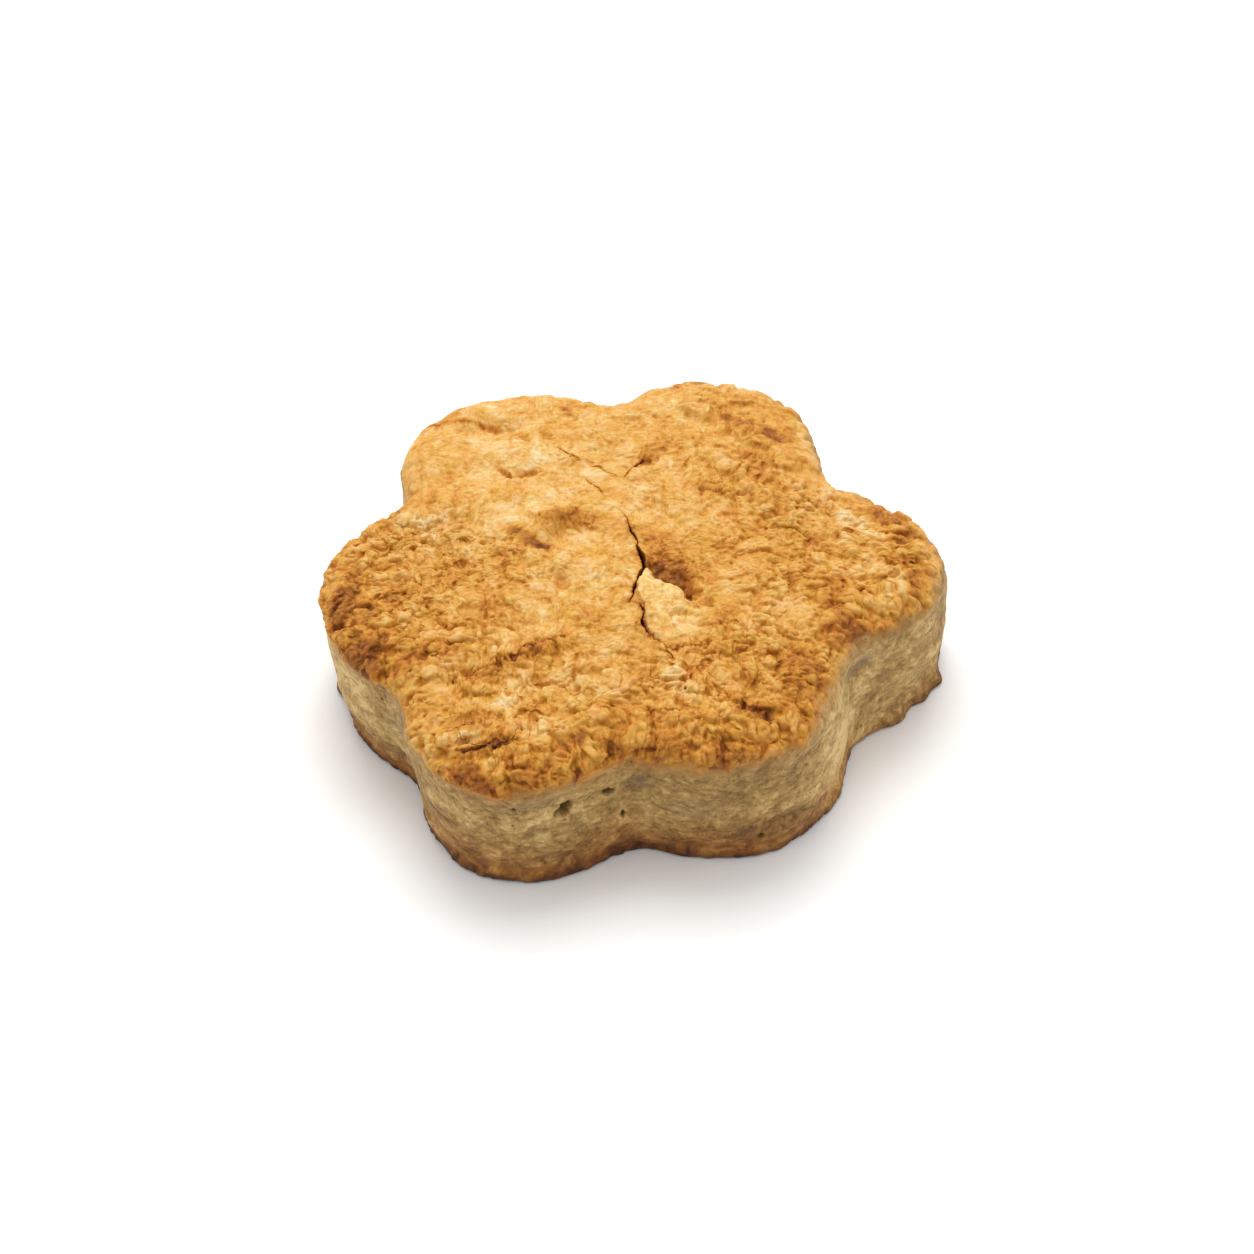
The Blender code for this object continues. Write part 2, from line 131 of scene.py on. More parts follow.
# open cracks: route, half width and depth at each point, all in millimetres
CRACKS = {
    "main": (
        ((-0.2, 6.1), (0.1, 5.5), (0.7, 4.2), (0.8, 3.5), (0.9, 2.8), (1.2, 1.8), (1.5, 1.0), (1.8, 0.2),
         (1.7, -0.4), (1.9, -0.9), (2.2, -1.6), (2.3, -2.3), (2.4, -3.1), (2.4, -3.8), (2.1, -4.4),
         (1.9, -5.1), (1.8, -5.7), (1.6, -6.4), (1.3, -7.3), (1.4, -7.7), (1.2, -8.2), (0.9, -8.7)),
        (0.04, 0.05, 0.05, 0.04, 0.07, 0.08, 0.09, 0.09, 0.08, 0.15, 0.22, 0.28, 0.28, 0.22, 0.18, 0.19,
         0.18, 0.17, 0.13, 0.09, 0.07, 0.04),
        (0.1, 0.15, 0.2, 0.3, 0.8, 1.2, 1.3, 1.3, 1.2, 1.6, 2.0, 2.4, 2.6, 2.4, 2.2, 2.4, 2.4, 2.0, 1.3,
         0.8, 0.6, 0.3),
    ),
    "lower": (
        ((2.0, -9.1), (2.3, -9.8), (2.5, -10.3), (2.3, -10.9), (2.2, -11.5), (2.3, -12.2), (2.6, -13.0),
         (2.9, -13.5), (3.3, -13.8), (3.7, -14.4), (4.5, -15.3), (4.7, -15.9), (5.2, -16.5), (5.3, -17.0)),
        (0.06, 0.1, 0.11, 0.07, 0.12, 0.13, 0.06, 0.04, 0.04, 0.04, 0.06, 0.08, 0.07, 0.04),
        (0.5, 1.2, 1.3, 0.8, 1.5, 1.3, 0.4, 0.15, 0.12, 0.15, 0.2, 0.4, 0.4, 0.15),
    ),
    "side": (
        ((4.7, -15.5), (5.4, -15.5), (6.0, -15.3), (6.7, -15.5), (7.3, -15.2), (8.0, -15.2), (8.6, -15.0),
         (9.3, -14.5)),
        (0.05, 0.06, 0.05, 0.06, 0.05, 0.04, 0.04, 0.03),
        (0.2, 0.25, 0.15, 0.25, 0.2, 0.12, 0.12, 0.08),
    ),
    "back_upper": (((-7.0, 16.3), (-6.1, 15.4), (-4.5, 14.6)), (0.05, 0.07, 0.04), (0.15, 0.25, 0.15)),
    "back_middle": (((-3.2, 13.5), (-2.4, 13.4), (-1.6, 12.4), (-0.5, 11.7)), (0.05, 0.08, 0.06, 0.05),
                    (0.15, 0.3, 0.2, 0.15)),
    "back_lower": (((-3.8, 11.4), (-3.2, 10.4), (-2.4, 9.6), (-2.0, 8.5)), (0.04, 0.07, 0.08, 0.04),
                   (0.15, 0.3, 0.35, 0.15)),
    "back_right": (((2.5, 14.5), (1.4, 13.0), (0.4, 11.2)), (0.09, 0.06, 0.04), (0.7, 0.4, 0.2)),
    "left_short": (((-10.8, -17.2), (-9.9, -15.9), (-8.8, -15.0)), (0.07, 0.1, 0.05), (0.5, 0.8, 0.3)),
    "front_crease": (((-16.4, -28.3), (-15.4, -28.8), (-14.2, -28.5), (-13.1, -28.2), (-11.2, -27.9)),
                     (0.06, 0.12, 0.1, 0.12, 0.06), (0.3, 0.8, 0.7, 0.8, 0.3)),
    "front_edge": (((-4.2, -30.1), (-4.9, -31.3), (-5.3, -32.3), (-5.9, -33.2)), (0.05, 0.1, 0.1, 0.05),
                   (0.4, 0.8, 0.8, 0.4)),
}
CRACK_TEAR = ((0.5 * MM, 0.6, 24), (0.22 * MM, 0.3, 25))    # wavelength, share, layer: its uneven width
CRACK_SHADE = (0.3 * MM, 1.3 * MM)       # depths between which a crack turns dark, as painted shade
LIP = (0.9 * MM, 0.16 * MM)             # how far from a crack its lips rise, and how high
CRACK_DRAW = (1.5 * MM, 0.6)            # reach and share by which the mesh is drawn in to a crack

CREASE_SWAY = ((1.0 * MM, 0.25 * MM),)  # wavelength, reach
CREASE_END = 0.25                       # depth of a crease's ends, against its middle
# finer creases of the top: route in millimetres, half width, depth, how much darker as painted shade
CREASES = {
    "fold": (((-22.6, 21.0), (-21.3, 21.8), (-19.1, 22.0), (-16.9, 21.7), (-14.6, 21.1), (-12.7, 21.0)),
             0.42 * MM, 0.55 * MM, 0.34),
    "fold_end": (((-12.7, 21.0), (-12.1, 19.7), (-11.1, 18.6), (-10.3, 18.0)), 0.4 * MM, 0.3 * MM, 0.22),
    "lump_crease": (((-8.9, 19.6), (-8.1, 18.5), (-7.2, 17.9)), 0.5 * MM, 0.4 * MM, 0.3),
    "notch_crease": (((-6.9, 24.8), (-6.2, 23.5), (-5.1, 22.5)), 0.5 * MM, 0.35 * MM, 0.3),
    "forked": (((-13.9, 13.6), (-12.8, 12.9), (-12.0, 12.0), (-11.0, 12.3), (-9.8, 12.9), (-9.2, 13.4)),
               0.35 * MM, 0.4 * MM, 0.32),
    "curl": (((-14.3, 7.6), (-13.7, 8.9), (-13.2, 9.9)), 0.25 * MM, 0.2 * MM, 0.16),
    "under_ridge": (((-7.4, 2.2), (-7.8, 1.1), (-8.2, 0.1), (-9.1, -0.6)), 0.4 * MM, 0.45 * MM, 0.22),
    "left_line": (((-12.3, -1.1), (-10.7, -1.2), (-9.6, -0.9)), 0.22 * MM, 0.2 * MM, 0.16),
    "back_hollow": (((2.1, 13.5), (2.8, 14.0), (3.7, 14.4)), 0.7 * MM, 0.6 * MM, 0.2),
    "left_arc": (((-15.3, -19.4), (-14.1, -18.5), (-12.7, -17.8), (-10.3, -16.1), (-9.1, -15.1),
                  (-7.8, -14.5), (-6.2, -13.9)), 0.35 * MM, 0.25 * MM, 0.08),
    "beside_flake": (((8.2, -7.4), (8.9, -8.3), (9.7, -9.0)), 0.6 * MM, 0.5 * MM, 0.3),
    "right_rim": (((25.0, 4.4), (27.4, 3.2), (29.6, 1.4), (30.8, -1.2), (30.6, -4.4), (30.2, -7.0)),
                  0.5 * MM, 0.3 * MM, 0.08),
}

# the flake that has lifted beside the main crack: its corners in millimetres, round it
FLAKE = ((2.6, -4.3), (3.3, -5.1), (4.0, -5.9), (5.2, -6.3), (6.2, -6.8), (6.8, -8.0), (7.8, -8.7),
         (8.8, -9.8), (9.5, -11.4), (9.6, -13.4), (9.0, -14.6), (7.2, -15.1), (5.0, -15.3), (3.4, -13.8),
         (2.5, -12.6), (2.6, -10.8), (2.3, -9.2), (1.5, -7.7), (1.9, -6.2), (2.3, -4.6))
FLAKE_TEAR = ((0.8 * MM, 0.22 * MM), (0.35 * MM, 0.12 * MM))    # its torn edge: wavelength, reach
FLAKE_LIFT = (0.6 * MM, 0.18 * MM)     # height of its sharp back edge, width of the step there
FLAKE_FRONT = (-13.0 * MM, -5.0 * MM, 0.2)     # places along Y between which it rises, share in front
FLAKE_FADE = (9.0 * MM, 12.5 * MM, 0.35, 0.8)  # where its colour fades to the right, slant, share lost
# the hollow behind it: reach behind the edge, half width along X and its middle, depth
HOLLOW = (2.9 * MM, 2.7 * MM, 5.1 * MM, 2.4 * MM)
HOLLOW_WALL = 0.9 * MM                 # how far the torn wall under the flake's back edge slopes out
HOLLOW_START = ((2.0 * MM, 3.2 * MM), (-9.5 * MM, -6.2 * MM))   # where it begins, along X and along Y

# holes in the front wall: bearing in degrees, height, half length, half height, depth
WALL_HOLES = {
    "hole_left": (261, 10.7 * MM, 1.1 * MM, 0.85 * MM, 1.6 * MM),
    "hole_right": (269.5, 10.2 * MM, 0.7 * MM, 0.6 * MM, 0.8 * MM),
    "slit": (271.5, 6.5 * MM, 0.2 * MM, 0.5 * MM, 0.5 * MM),
    "pit": (297.5, 3.2 * MM, 0.45 * MM, 0.4 * MM, 0.6 * MM),
    "edge_pit": (253.5, 12.2 * MM, 0.35 * MM, 0.25 * MM, 0.6 * MM),
}
HOLE_TEAR = ((0.9 * MM, 0.3, 21), (0.4 * MM, 0.25, 23))     # wavelength, share, layer
# greyer marks on the wall, the bruise a real stain and those under the crust's edge painted shade:
# bearing in degrees, height, half length, half height, strength
WALL_STAINS_AND_SHADE = {
    "bruise": (276, 11.2 * MM, 1.0 * MM, 0.9 * MM, 1.3),
    "shade_under_right_notch": (335, 12.6 * MM, 2.2 * MM, 1.1 * MM, 0.7),
    "shade_under_front_left": (256, 12.6 * MM, 3.0 * MM, 0.8 * MM, 0.5),
    "front_middle": (286, 8.0 * MM, 3.5 * MM, 1.6 * MM, 0.3),
    "left_side": (222, 9.0 * MM, 3.0 * MM, 2.5 * MM, 0.3),
}
# where the wall is paler, or darker below 0: painted light on the flanks and the left, painted shade
# under the crust's front edge, plain tone elsewhere: bearing, height, half length, half height, strength
WALL_TONES_LIGHT_AND_SHADE = {
    "front_notch_top_shade": (276, 12.8 * MM, 5.0 * MM, 1.6 * MM, -1.3),
    "front_right_top_shade": (298, 12.8 * MM, 6.0 * MM, 1.7 * MM, -1.4),
    "front_left_top_shade": (255, 12.0 * MM, 4.0 * MM, 1.0 * MM, -0.3),
    "front_left_mid": (250, 9.0 * MM, 6.0 * MM, 1.8 * MM, 0.35),
    "front_right_low": (298, 5.0 * MM, 7.0 * MM, 2.0 * MM, -0.9),
    "front_notch": (274, 6.6 * MM, 3.8 * MM, 3.0 * MM, 0.6),
    "right_flank_light": (321, 7.5 * MM, 4.0 * MM, 5.0 * MM, 1.9),
    "left_flank_light": (224, 9.0 * MM, 3.5 * MM, 3.5 * MM, 0.5),
    "left": (205, 9.5 * MM, 5.0 * MM, 3.5 * MM, 1.6),
}
# where the crust ends: how far under the top's edge, rise along +X, and what makes it ragged
CRUST_EDGE = (2.4 * MM, 0.022)
CRUST_EDGE_TEAR = ((3.2 * MM, 0.45 * MM, 45), (1.2 * MM, 0.4 * MM, 46), (0.6 * MM, 0.25 * MM, 49))
# where the crust ends higher up the rim: bearing in degrees, half width along the wall, how much
EDGE_LIFTS = {"right_notch": (323, 5.2 * MM, 0.95 * MM), "front_right": (298, 8.0 * MM, 0.3 * MM)}
# where the foot's brown reaches higher up, as painted shade on the front-facing foot, or lower below 0,
# as painted light on the right flank: bearing in degrees, half width along the wall, how much
FOOT_BROWNS_AND_SHADE = {"front_left": (247, 7.5 * MM, 1.5 * MM), "front_notch": (271, 4.0 * MM, 0.9 * MM),
               "front_right": (293, 7.5 * MM, 1.3 * MM), "right": (345, 8.0 * MM, -1.0 * MM)}
FOOT_EDGE = (0.4 * MM, 2.2 * MM)        # heights between which the foot's brown ends
FOOT_EDGE_TEAR = ((2.6 * MM, 0.4 * MM, 47), (0.9 * MM, 0.3 * MM, 48))
LOW_WALL = (1.2 * MM, 6.5 * MM)         # heights between which the browner lower wall ends
LOW_WALL_TEAR = ((3.6 * MM, 1.5 * MM, 61), (1.5 * MM, 0.7 * MM, 62))
LOW_WALL_LIFT = 2.4                     # how far it rises over the foot's brown and painted shade, against their rise
# heights over the crust's edge between which the relief, the crust's colour and the wall's fade change
EDGE_RELIEF = (-0.2 * MM, 0.3 * MM)
EDGE_COLOUR = (-0.5 * MM, 0.7 * MM)
EDGE_FADE = (-2.0 * MM, 0.2 * MM)

# --- the fine relief, which the solid leaves out ------------------------------------------------
# how the fine layers wander: wavelength, reach
WANDER = ((3.0 * MM, 0.6 * MM), (1.1 * MM, 0.24 * MM), (0.5 * MM, 0.08 * MM))
# layers of crumb: size, height on the calm middle, height on the lobes, share in the tone
CRUMB_LAYERS = {
    "ledges": (4.2 * MM, 0.15 * MM, 0.30 * MM, 0.35),
    "knobs": (1.9 * MM, 0.10 * MM, 0.29 * MM, 0.55),
    "nubs": (1.15 * MM, 0.055 * MM, 0.13 * MM, 0.45),
    "scales": (0.62 * MM, 0.04 * MM, 0.05 * MM, 0.40),
    "beads": (0.66 * MM, 0.045 * MM, 0.10 * MM, 0.55),
    "grains": (0.40 * MM, 0.03 * MM, 0.05 * MM, 0.55),
    "wisps": (0.46 * MM, 0.045 * MM, 0.04 * MM, 0.55),
    "threads": (0.30 * MM, 0.03 * MM, 0.02 * MM, 0.40),
}
LEDGE_STEPS = 3.0           # how many ledges there are to one rise of the noise
PLATE_WIDTH = 0.62          # width of a thin plate against its length
PLATE_BEARING = (8, 65)     # mean bearing of the thin plates, and how far they turn from it, in degrees
PLATE_FORM = (0.9, 0.5, 0.25)           # how far its own height, its tip and its dish raise a plate
PLATE_EDGE = (1.0, 0.84)                # shares of its reach between which its edge falls
WISP_LENGTH = 2.6           # length of a wisp against its width
WISP_TURNS = (-30, 10, 50)  # bearings of the wisps, in degrees from +X
PITS = (1.9 * MM, 0.11 * MM, 0.4 * MM, 0.72)     # spacing, radius, depth, share of places without one
CRUST_STEP = 0.04 * MM      # how far the crust stands out over the wall
CRUST_SETTLE = 0.12 * MM    # how far the fine crumb sinks, to keep the outline where it is
CRUMB_PATCHES = ((6.0 * MM, 0.3, 18),)  # wavelength, share, layer: how uneven the crumb is
PITS_ON_CALM = 0.2          # how much of the pits there is on the calm parts
PLATE_TONE = 0.8            # how much of a plate's own tone shows
# the crumb calms towards the crust's lower edge, over more of the rim behind these places along Y
EDGE_BEHIND = (-6.0 * MM, 14.0 * MM)
# in front and behind: heights over the edge between which the crumb comes in, share of it below them
EDGE_CALM = ((0.1 * MM, 1.2 * MM, 0.2), (0.7 * MM, 3.0 * MM, 0.08))
CALM_FOOT, CALM_FLAKE, CALM_HOLE = 0.7, 0.4, 0.8    # how much of the fine relief is gone there
# layers of the wall: length along it, spacing up it, height, share in the tone, and for the finer
# ones 1 for crests or -1 for creases
WALL_BANDS = {
    "bands": (9.0 * MM, 1.9 * MM, 0.11 * MM, 0.55),
    "lumps": (1.8 * MM, 1.2 * MM, 0.08 * MM, 0.45),
}
WALL_FIBRES = {
    "strands": (2.0 * MM, 0.90 * MM, 0.045 * MM, 0.40, -1),
    "fibres": (0.8 * MM, 0.45 * MM, 0.025 * MM, 0.45, -1),
    "hairs": (0.4 * MM, 0.25 * MM, 0.015 * MM, 0.45, 1),
}
BAND_GAIN = 1.6             # lifts the bands' noise to between about -1 and 1
WALL_LINES = (4.0 * MM, 0.9 * MM, 0.10 * MM, 0.42)    # layer edges: length, spacing, depth, painted shade
WALL_SWAY = ((6.0 * MM, 1.3 * MM), (2.0 * MM, 0.45 * MM), (0.8 * MM, 0.16 * MM))
WALL_PITS = (1.3 * MM, 0.12 * MM, 0.3 * MM, 0.55)
FOOT_CRUMBLE = (1.6 * MM, 0.20 * MM)

# --- the browning -------------------------------------------------------------------------------
# how toasted each lobe's crust is, from 0 to 1, and the middle of the top
TOAST = {"right": 0.36, "back_right": 0.34, "back_left": 0.29, "left": 0.44, "front_left": 0.42,
         "front_right": 0.46}
TOAST_MIDDLE = 0.30
TOAST_REACH = 13.0 * MM     # half width of a lobe's own tone
DRIFTS = ((7 * MM, 0.08, 41), (3 * MM, 0.10, 42), (1.4 * MM, 0.07, 43))     # wavelength, tone, layer
# the rim is browner: all round, more in front, places along Y and heights over the edge where it sets in
RIM_TOAST = (0.05, 0.08, (2 * MM, -14 * MM), (2.6 * MM, 0.9 * MM))
HOLLOW_TOAST_AND_SHADE, CRACK_TOAST = 0.75, 0.32  # how much browner the hollow, in part painted shade, and the cracks' sides are
SPOT_SWAY = ((2.4 * MM, 0.9 * MM), (0.9 * MM, 0.4 * MM))    # how the spots' edges wander
SPOT_SPREAD = 1.1           # how much wider a spot reaches than it says
SPOT_PATCHES = ((2.2 * MM, 0.4, 44),)   # wavelength, share, layer: how uneven the spots are
MIDDLE_SPREAD = 1.1         # reach of the middle's tone against that of a lobe's
LOBE_SPREAD = 1.15          # how far out a lobe's tone is centred, against the lobe itself
# how dark the pits and the wall's layer creases are painted, as shade in them
PIT_SHADE = 0.7
# stains of the flake: as the places below
FLAKE_STAINS = (
    ((3.2, -11.6), (0.7, 2.0), 0, 0.22, 0.0), ((5.8, -15.2), (2.8, 0.5), 3, 0.14, 0.0),
    ((6.1, -11.2), (1.1, 0.5), 10, 0.16, -0.35),
)
FLAKE_STAIN = (2.0, 0.6)    # how much of the flake's pale crumb they take away, and at most
# places of the top that are browner or paler, and stand out or are sunk, all in millimetres: middle,
# reach along and across, turn in degrees, how much browner, how far out
TOP_SPOTS = (
    # the back lobes
    ((14.6, 19.0), (3.8, 2.4), -30, 0.28, 0.25), ((13.2, 14.6), (2.6, 0.9), -8, 0.18, 0.1),
    ((10.4, 8.8), (1.9, 1.0), -22, 0.20, 0.1), ((2.8, 14.1), (1.8, 1.1), 40, 0.10, -0.5),
    ((-10.6, 19.6), (2.0, 1.5), 20, 0.10, 0.45), ((-16.4, 23.2), (5.0, 1.0), -3, 0.22, 0.35),
    ((-5.6, 23.4), (2.2, 0.9), -50, 0.12, -0.2), ((-14.0, 17.0), (5.6, 1.7), -8, -0.14, 0.0),
    ((-12.4, 25.4), (3.6, 1.0), 8, 0.10, 0.2), ((11.3, 14.2), (2.6, 1.3), -18, -0.12, 0.0),
    # the middle: a toasted ridge, pale hollows under it, a dimple, and the hollow's brown slope, in part
    # painted shade
    ((-4.8, 4.7), (3.2, 1.1), 4, 0.38, 0.70), ((-9.6, 1.2), (2.2, 1.2), -40, 0.54, 0.35),
    ((-4.6, 1.6), (3.2, 1.7), 25, 0.07, -0.4), ((-6.1, -5.3), (0.9, 0.7), 88, 0.24, -0.4),
    ((-8.6, 6.4), (4.6, 1.4), 30, -0.12, 0.1), ((-0.6, -1.4), (3.8, 1.7), 60, 0.05, 0.0),
    ((4.0, 1.0), (2.8, 1.5), -30, 0.18, 0.2), ((7.8, -5.2), (2.0, 1.4), -50, 0.14, -0.1),
    ((-2.2, -5.6), (4.6, 1.5), 52, 0.02, 0.0), ((0.2, -10.4), (3.0, 1.7), 80, -0.10, 0.1),
    # the flake and what lies in front of it
    ((5.8, -9.8), (3.0, 4.2), 0, -0.24, 0.0), *FLAKE_STAINS,
    ((10.8, -10.6), (1.4, 2.6), 20, 0.12, 0.1), ((8.8, -17.2), (2.0, 0.7), 57, 0.14, -0.1),
    # the left lobe
    ((-28.7, -7.0), (3.2, 1.2), 87, 0.38, 0.0), ((-26.2, -15.0), (2.9, 1.3), -43, 0.20, -0.1),
    ((-22.9, -7.0), (1.4, 1.1), 60, 0.18, 0.15), ((-22.8, -10.6), (2.5, 1.4), 22, -0.20, 0.0),
    ((-26.6, -3.4), (2.4, 1.2), 40, 0.12, 0.1), ((-19.0, -15.4), (3.0, 1.2), 10, 0.12, 0.1),
    # the front lobes: arcs of browner knobs with pale crumb between them
    ((-10.0, -15.9), (5.2, 1.1), 34, 0.13, 0.3), ((-14.4, -18.7), (3.2, 1.0), 36, 0.16, 0.1),
    ((-10.6, -21.6), (5.2, 1.2), 35, -0.17, -0.1), ((-14.2, -24.9), (2.2, 1.3), 15, 0.24, 0.15),
    ((-11.9, -27.6), (2.3, 0.9), 15, 0.22, -0.35), ((-14.6, -28.2), (2.4, 1.0), 17, 0.20, 0.0),
    ((-8.6, -31.2), (2.5, 1.5), 34, 0.22, 0.2), ((-12.1, -30.1), (1.8, 1.1), -7, -0.03, 0.2),
    ((-8.0, -25.4), (3.8, 1.1), 42, -0.14, 0.0), ((-3.0, -28.8), (1.6, 1.1), 68, 0.08, 0.0),
    ((-4.0, -27.4), (1.4, 1.0), 85, 0.36, -0.1), ((1.4, -28.6), (2.2, 0.9), -15, 0.10, 0.0),
    ((4.1, -28.6), (2.9, 1.1), -4, 0.18, 0.1), ((9.9, -28.2), (1.2, 2.4), 0, 0.16, 0.1),
    ((8.2, -22.7), (4.0, 1.8), -47, -0.18, 0.0), ((14.3, -24.0), (1.6, 0.7), -28, 0.24, -0.3),
    ((19.0, -17.2), (3.2, 1.1), -56, 0.24, 0.2), ((15.4, -20.0), (3.4, 1.4), -50, 0.14, 0.15),
    ((12.2, -26.6), (1.5, 1.0), 51, -0.15, 0.1), ((-3.8, -20.6), (3.6, 2.0), -16, -0.10, 0.0),
    # the right lobe
    ((25.9, 3.4), (2.6, 1.2), -50, -0.34, -0.1), ((27.2, -2.4), (4.6, 1.3), -56, -0.20, -0.3),
    ((29.4, 4.6), (3.4, 0.9), -42, 0.28, 0.3), ((30.6, -1.4), (0.9, 2.4), 0, -0.08, 0.1),
    ((25.2, -12.2), (2.8, 1.7), -22, 0.44, -0.1), ((30.2, -9.6), (1.4, 1.0), 31, 0.20, 0.1),
    ((20.6, -5.4), (2.8, 1.6), -20, 0.14, 0.25), ((17.6, -8.6), (3.2, 1.4), -48, -0.11, 0.0),
    ((22.2, -9.4), (2.4, 1.4), -30, 0.14, 0.2), ((14.7, -5.2), (1.2, 0.9), 0, 0.16, 0.1),
    ((6.6, 2.4), (4.4, 2.4), -60, -0.05, 0.0), ((20.0, 6.4), (3.4, 1.2), -30, 0.02, 0.1),
    # smaller patches here and there
    ((14.6, -18.2), (2.4, 1.3), -50, -0.36, 0.1), ((-22.4, 4.0), (4.2, 1.2), 5, -0.18, 0.0),
    ((-0.6, -29.4), (1.2, 0.8), 0, -0.06, 0.1), ((-2.1, -25.2), (1.6, 1.1), 0, -0.20, 0.0),
    ((5.6, -18.2), (2.8, 1.5), -60, -0.22, 0.1), ((-12.6, -16.0), (1.5, 1.0), 30, -0.20, 0.0),
    ((18.9, 3.8), (2.0, 1.2), -20, -0.18, 0.1), ((-24.6, -18.3), (1.6, 1.2), -40, -0.18, 0.0),
    ((23.4, 0.6), (1.8, 1.2), -30, -0.18, 0.0), ((20.6, -19.6), (1.5, 1.0), -60, -0.16, 0.0),
    ((12.8, -12.6), (1.6, 1.3), 0, -0.17, 0.0), ((-21.4, -23.1), (1.6, 1.2), -60, -0.15, 0.0),
    ((-15.6, -31.0), (1.8, 1.2), 10, 0.26, 0.0), ((-3.6, -0.9), (1.8, 1.1), 20, 0.34, -0.1),
    ((-6.6, -28.4), (1.6, 1.0), 30, 0.20, 0.0), ((-26.6, -8.4), (2.4, 1.0), 87, 0.20, 0.0),
    ((-22.8, -13.6), (2.2, 1.0), 10, 0.20, 0.1), ((-22.6, -17.2), (1.6, 1.0), 0, 0.20, 0.0),
    ((-19.4, -11.8), (1.8, 1.0), 10, 0.14, 0.1), ((-20.0, -16.6), (1.8, 1.2), 10, 0.20, 0.1),
    ((24.0, -6.8), (1.8, 1.2), 0, 0.19, 0.1), ((22.1, -13.9), (1.8, 1.1), -20, 0.20, 0.1),
    ((30.8, -5.4), (1.0, 1.8), 0, 0.20, 0.1),
    ((16.9, -24.0), (1.4, 1.2), 0, 0.18, 0.0), ((19.2, 14.4), (1.8, 1.2), -40, 0.18, 0.1),
    ((7.3, -24.8), (1.8, 1.1), 0, 0.16, 0.1), ((3.9, 16.3), (1.6, 1.2), 0, 0.15, 0.1),
    ((-29.0, -11.2), (1.4, 1.2), 0, -0.18, 0.0), ((-15.7, -27.0), (1.6, 0.9), 10, -0.18, 0.0),
    ((-20.0, -27.4), (1.4, 1.4), 0, -0.16, 0.1), ((3.0, -28.9), (1.4, 1.0), 0, -0.14, 0.0),
    ((30.2, 1.2), (1.2, 1.4), 0, 0.20, 0.1), ((-17.2, -15.4), (1.4, 1.0), 0, 0.16, 0.1),
    ((-7.6, -14.7), (1.8, 1.0), 30, 0.18, 0.2), ((-11.4, -28.4), (1.6, 0.8), 0, 0.14, 0.0),
    ((6.2, -2.6), (1.8, 1.3), -40, 0.20, 0.0), ((12.5, 25.6), (1.8, 1.0), 0, 0.14, 0.1),
)
# folds of the rolled dough, in arcs round a place in front of the cookie: distance of that place,
# spacing, length against spacing, height, how much browner their crests are
FOLDS = (45.0 * MM, 3.6 * MM, 2.2, 0.30 * MM, 0.11)

# --- the mesh -----------------------------------------------------------------------------------
TOP_CELLS = 520             # cells along each side of the top; the wall has four times as many
RIM_ROWS = 40
CRUST_ROWS = RIM_ROWS + 6   # those in the crust's pieces; the rest are in the walls'
WALL_ROWS = 80
FOOT_ROWS = 13
BASE_RINGS = 4              # each has half the points of the one outside it
SHARES = ("crust_front_left", "crust_front_right", "crust_back_left", "crust_back_right", "wall_front",
          "wall_back")
MIDDLE = np.array([0.0, 0.0, 0.5 * HEIGHT])     # where the cuts between the pieces meet
CUT_DRAW = np.array([0.93, 0.93, 0.5])          # how near to it, along X, Y and Z, a cut's first step stays
SOLVER_STEPS = 24
SOLVER_DAMPING = 0.9
LEAST_SLOPE = 0.3
PROBE = 0.05 * MM           # step for slopes
ROUTE_REACH = 4.0 * MM      # how far from a route its distance is worked out
EDGE_REACH = 20.0 * MM      # the same for the flake's edge
WALL_REACH = 4.0 * MM       # how far in from the wall a place on it still counts
LOWEST = 0.02 * MM          # the skin stays this far over the floor, but for the base

random = np.random.default_rng(SEED)
LATTICE = random.random((LATTICE_SIZE,) * 3)
JITTER = random.random((LATTICE_SIZE, LATTICE_SIZE, LATTICE_SIZE, 3))


# --- shared shapes ------------------------------------------------------------------------------
def smooth(value, low, high):
    """0 below low and 1 above high, with a soft step 3t^2 - 2t^3 between."""
    share = np.clip((value - low) / (high - low), 0, 1)
    return share * share * (3 - 2 * share)


def noise(points, wavelength, layer):
    """Value from -1 to 1: the random values at a lattice's corners, blended by the soft step."""
    place = points / wavelength + layer * LAYER_SHIFT
    cell = np.floor(place).astype(int)
    share = place - cell
    share = share * share * (3 - 2 * share)
    value = np.zeros(len(points))
    for corner in product((0, 1), repeat=3):
        weight = np.prod(np.where(corner, share, 1 - share), axis=1)
        value += weight * LATTICE[tuple(((cell + corner) % LATTICE_SIZE).T)]
    return value * 2 - 1


def noises(points, scales):
    """The sum of some layers of noise, each given by its wavelength, size and layer."""
    return sum(size * noise(points, wavelength, layer) for wavelength, size, layer in scales)


def moved_about(points, scales, layer, axes=3):
    """Places moved about by noise, so that what is read there curls and tears: each scale, given by its
    wavelength and reach, reads one layer for each of the first axes."""
    moved = points.copy()
    for k, (wavelength, reach) in enumerate(scales):
        for axis in range(axes):
            moved[:, axis] += reach * noise(points, wavelength, layer + axes * k + axis)
    return moved


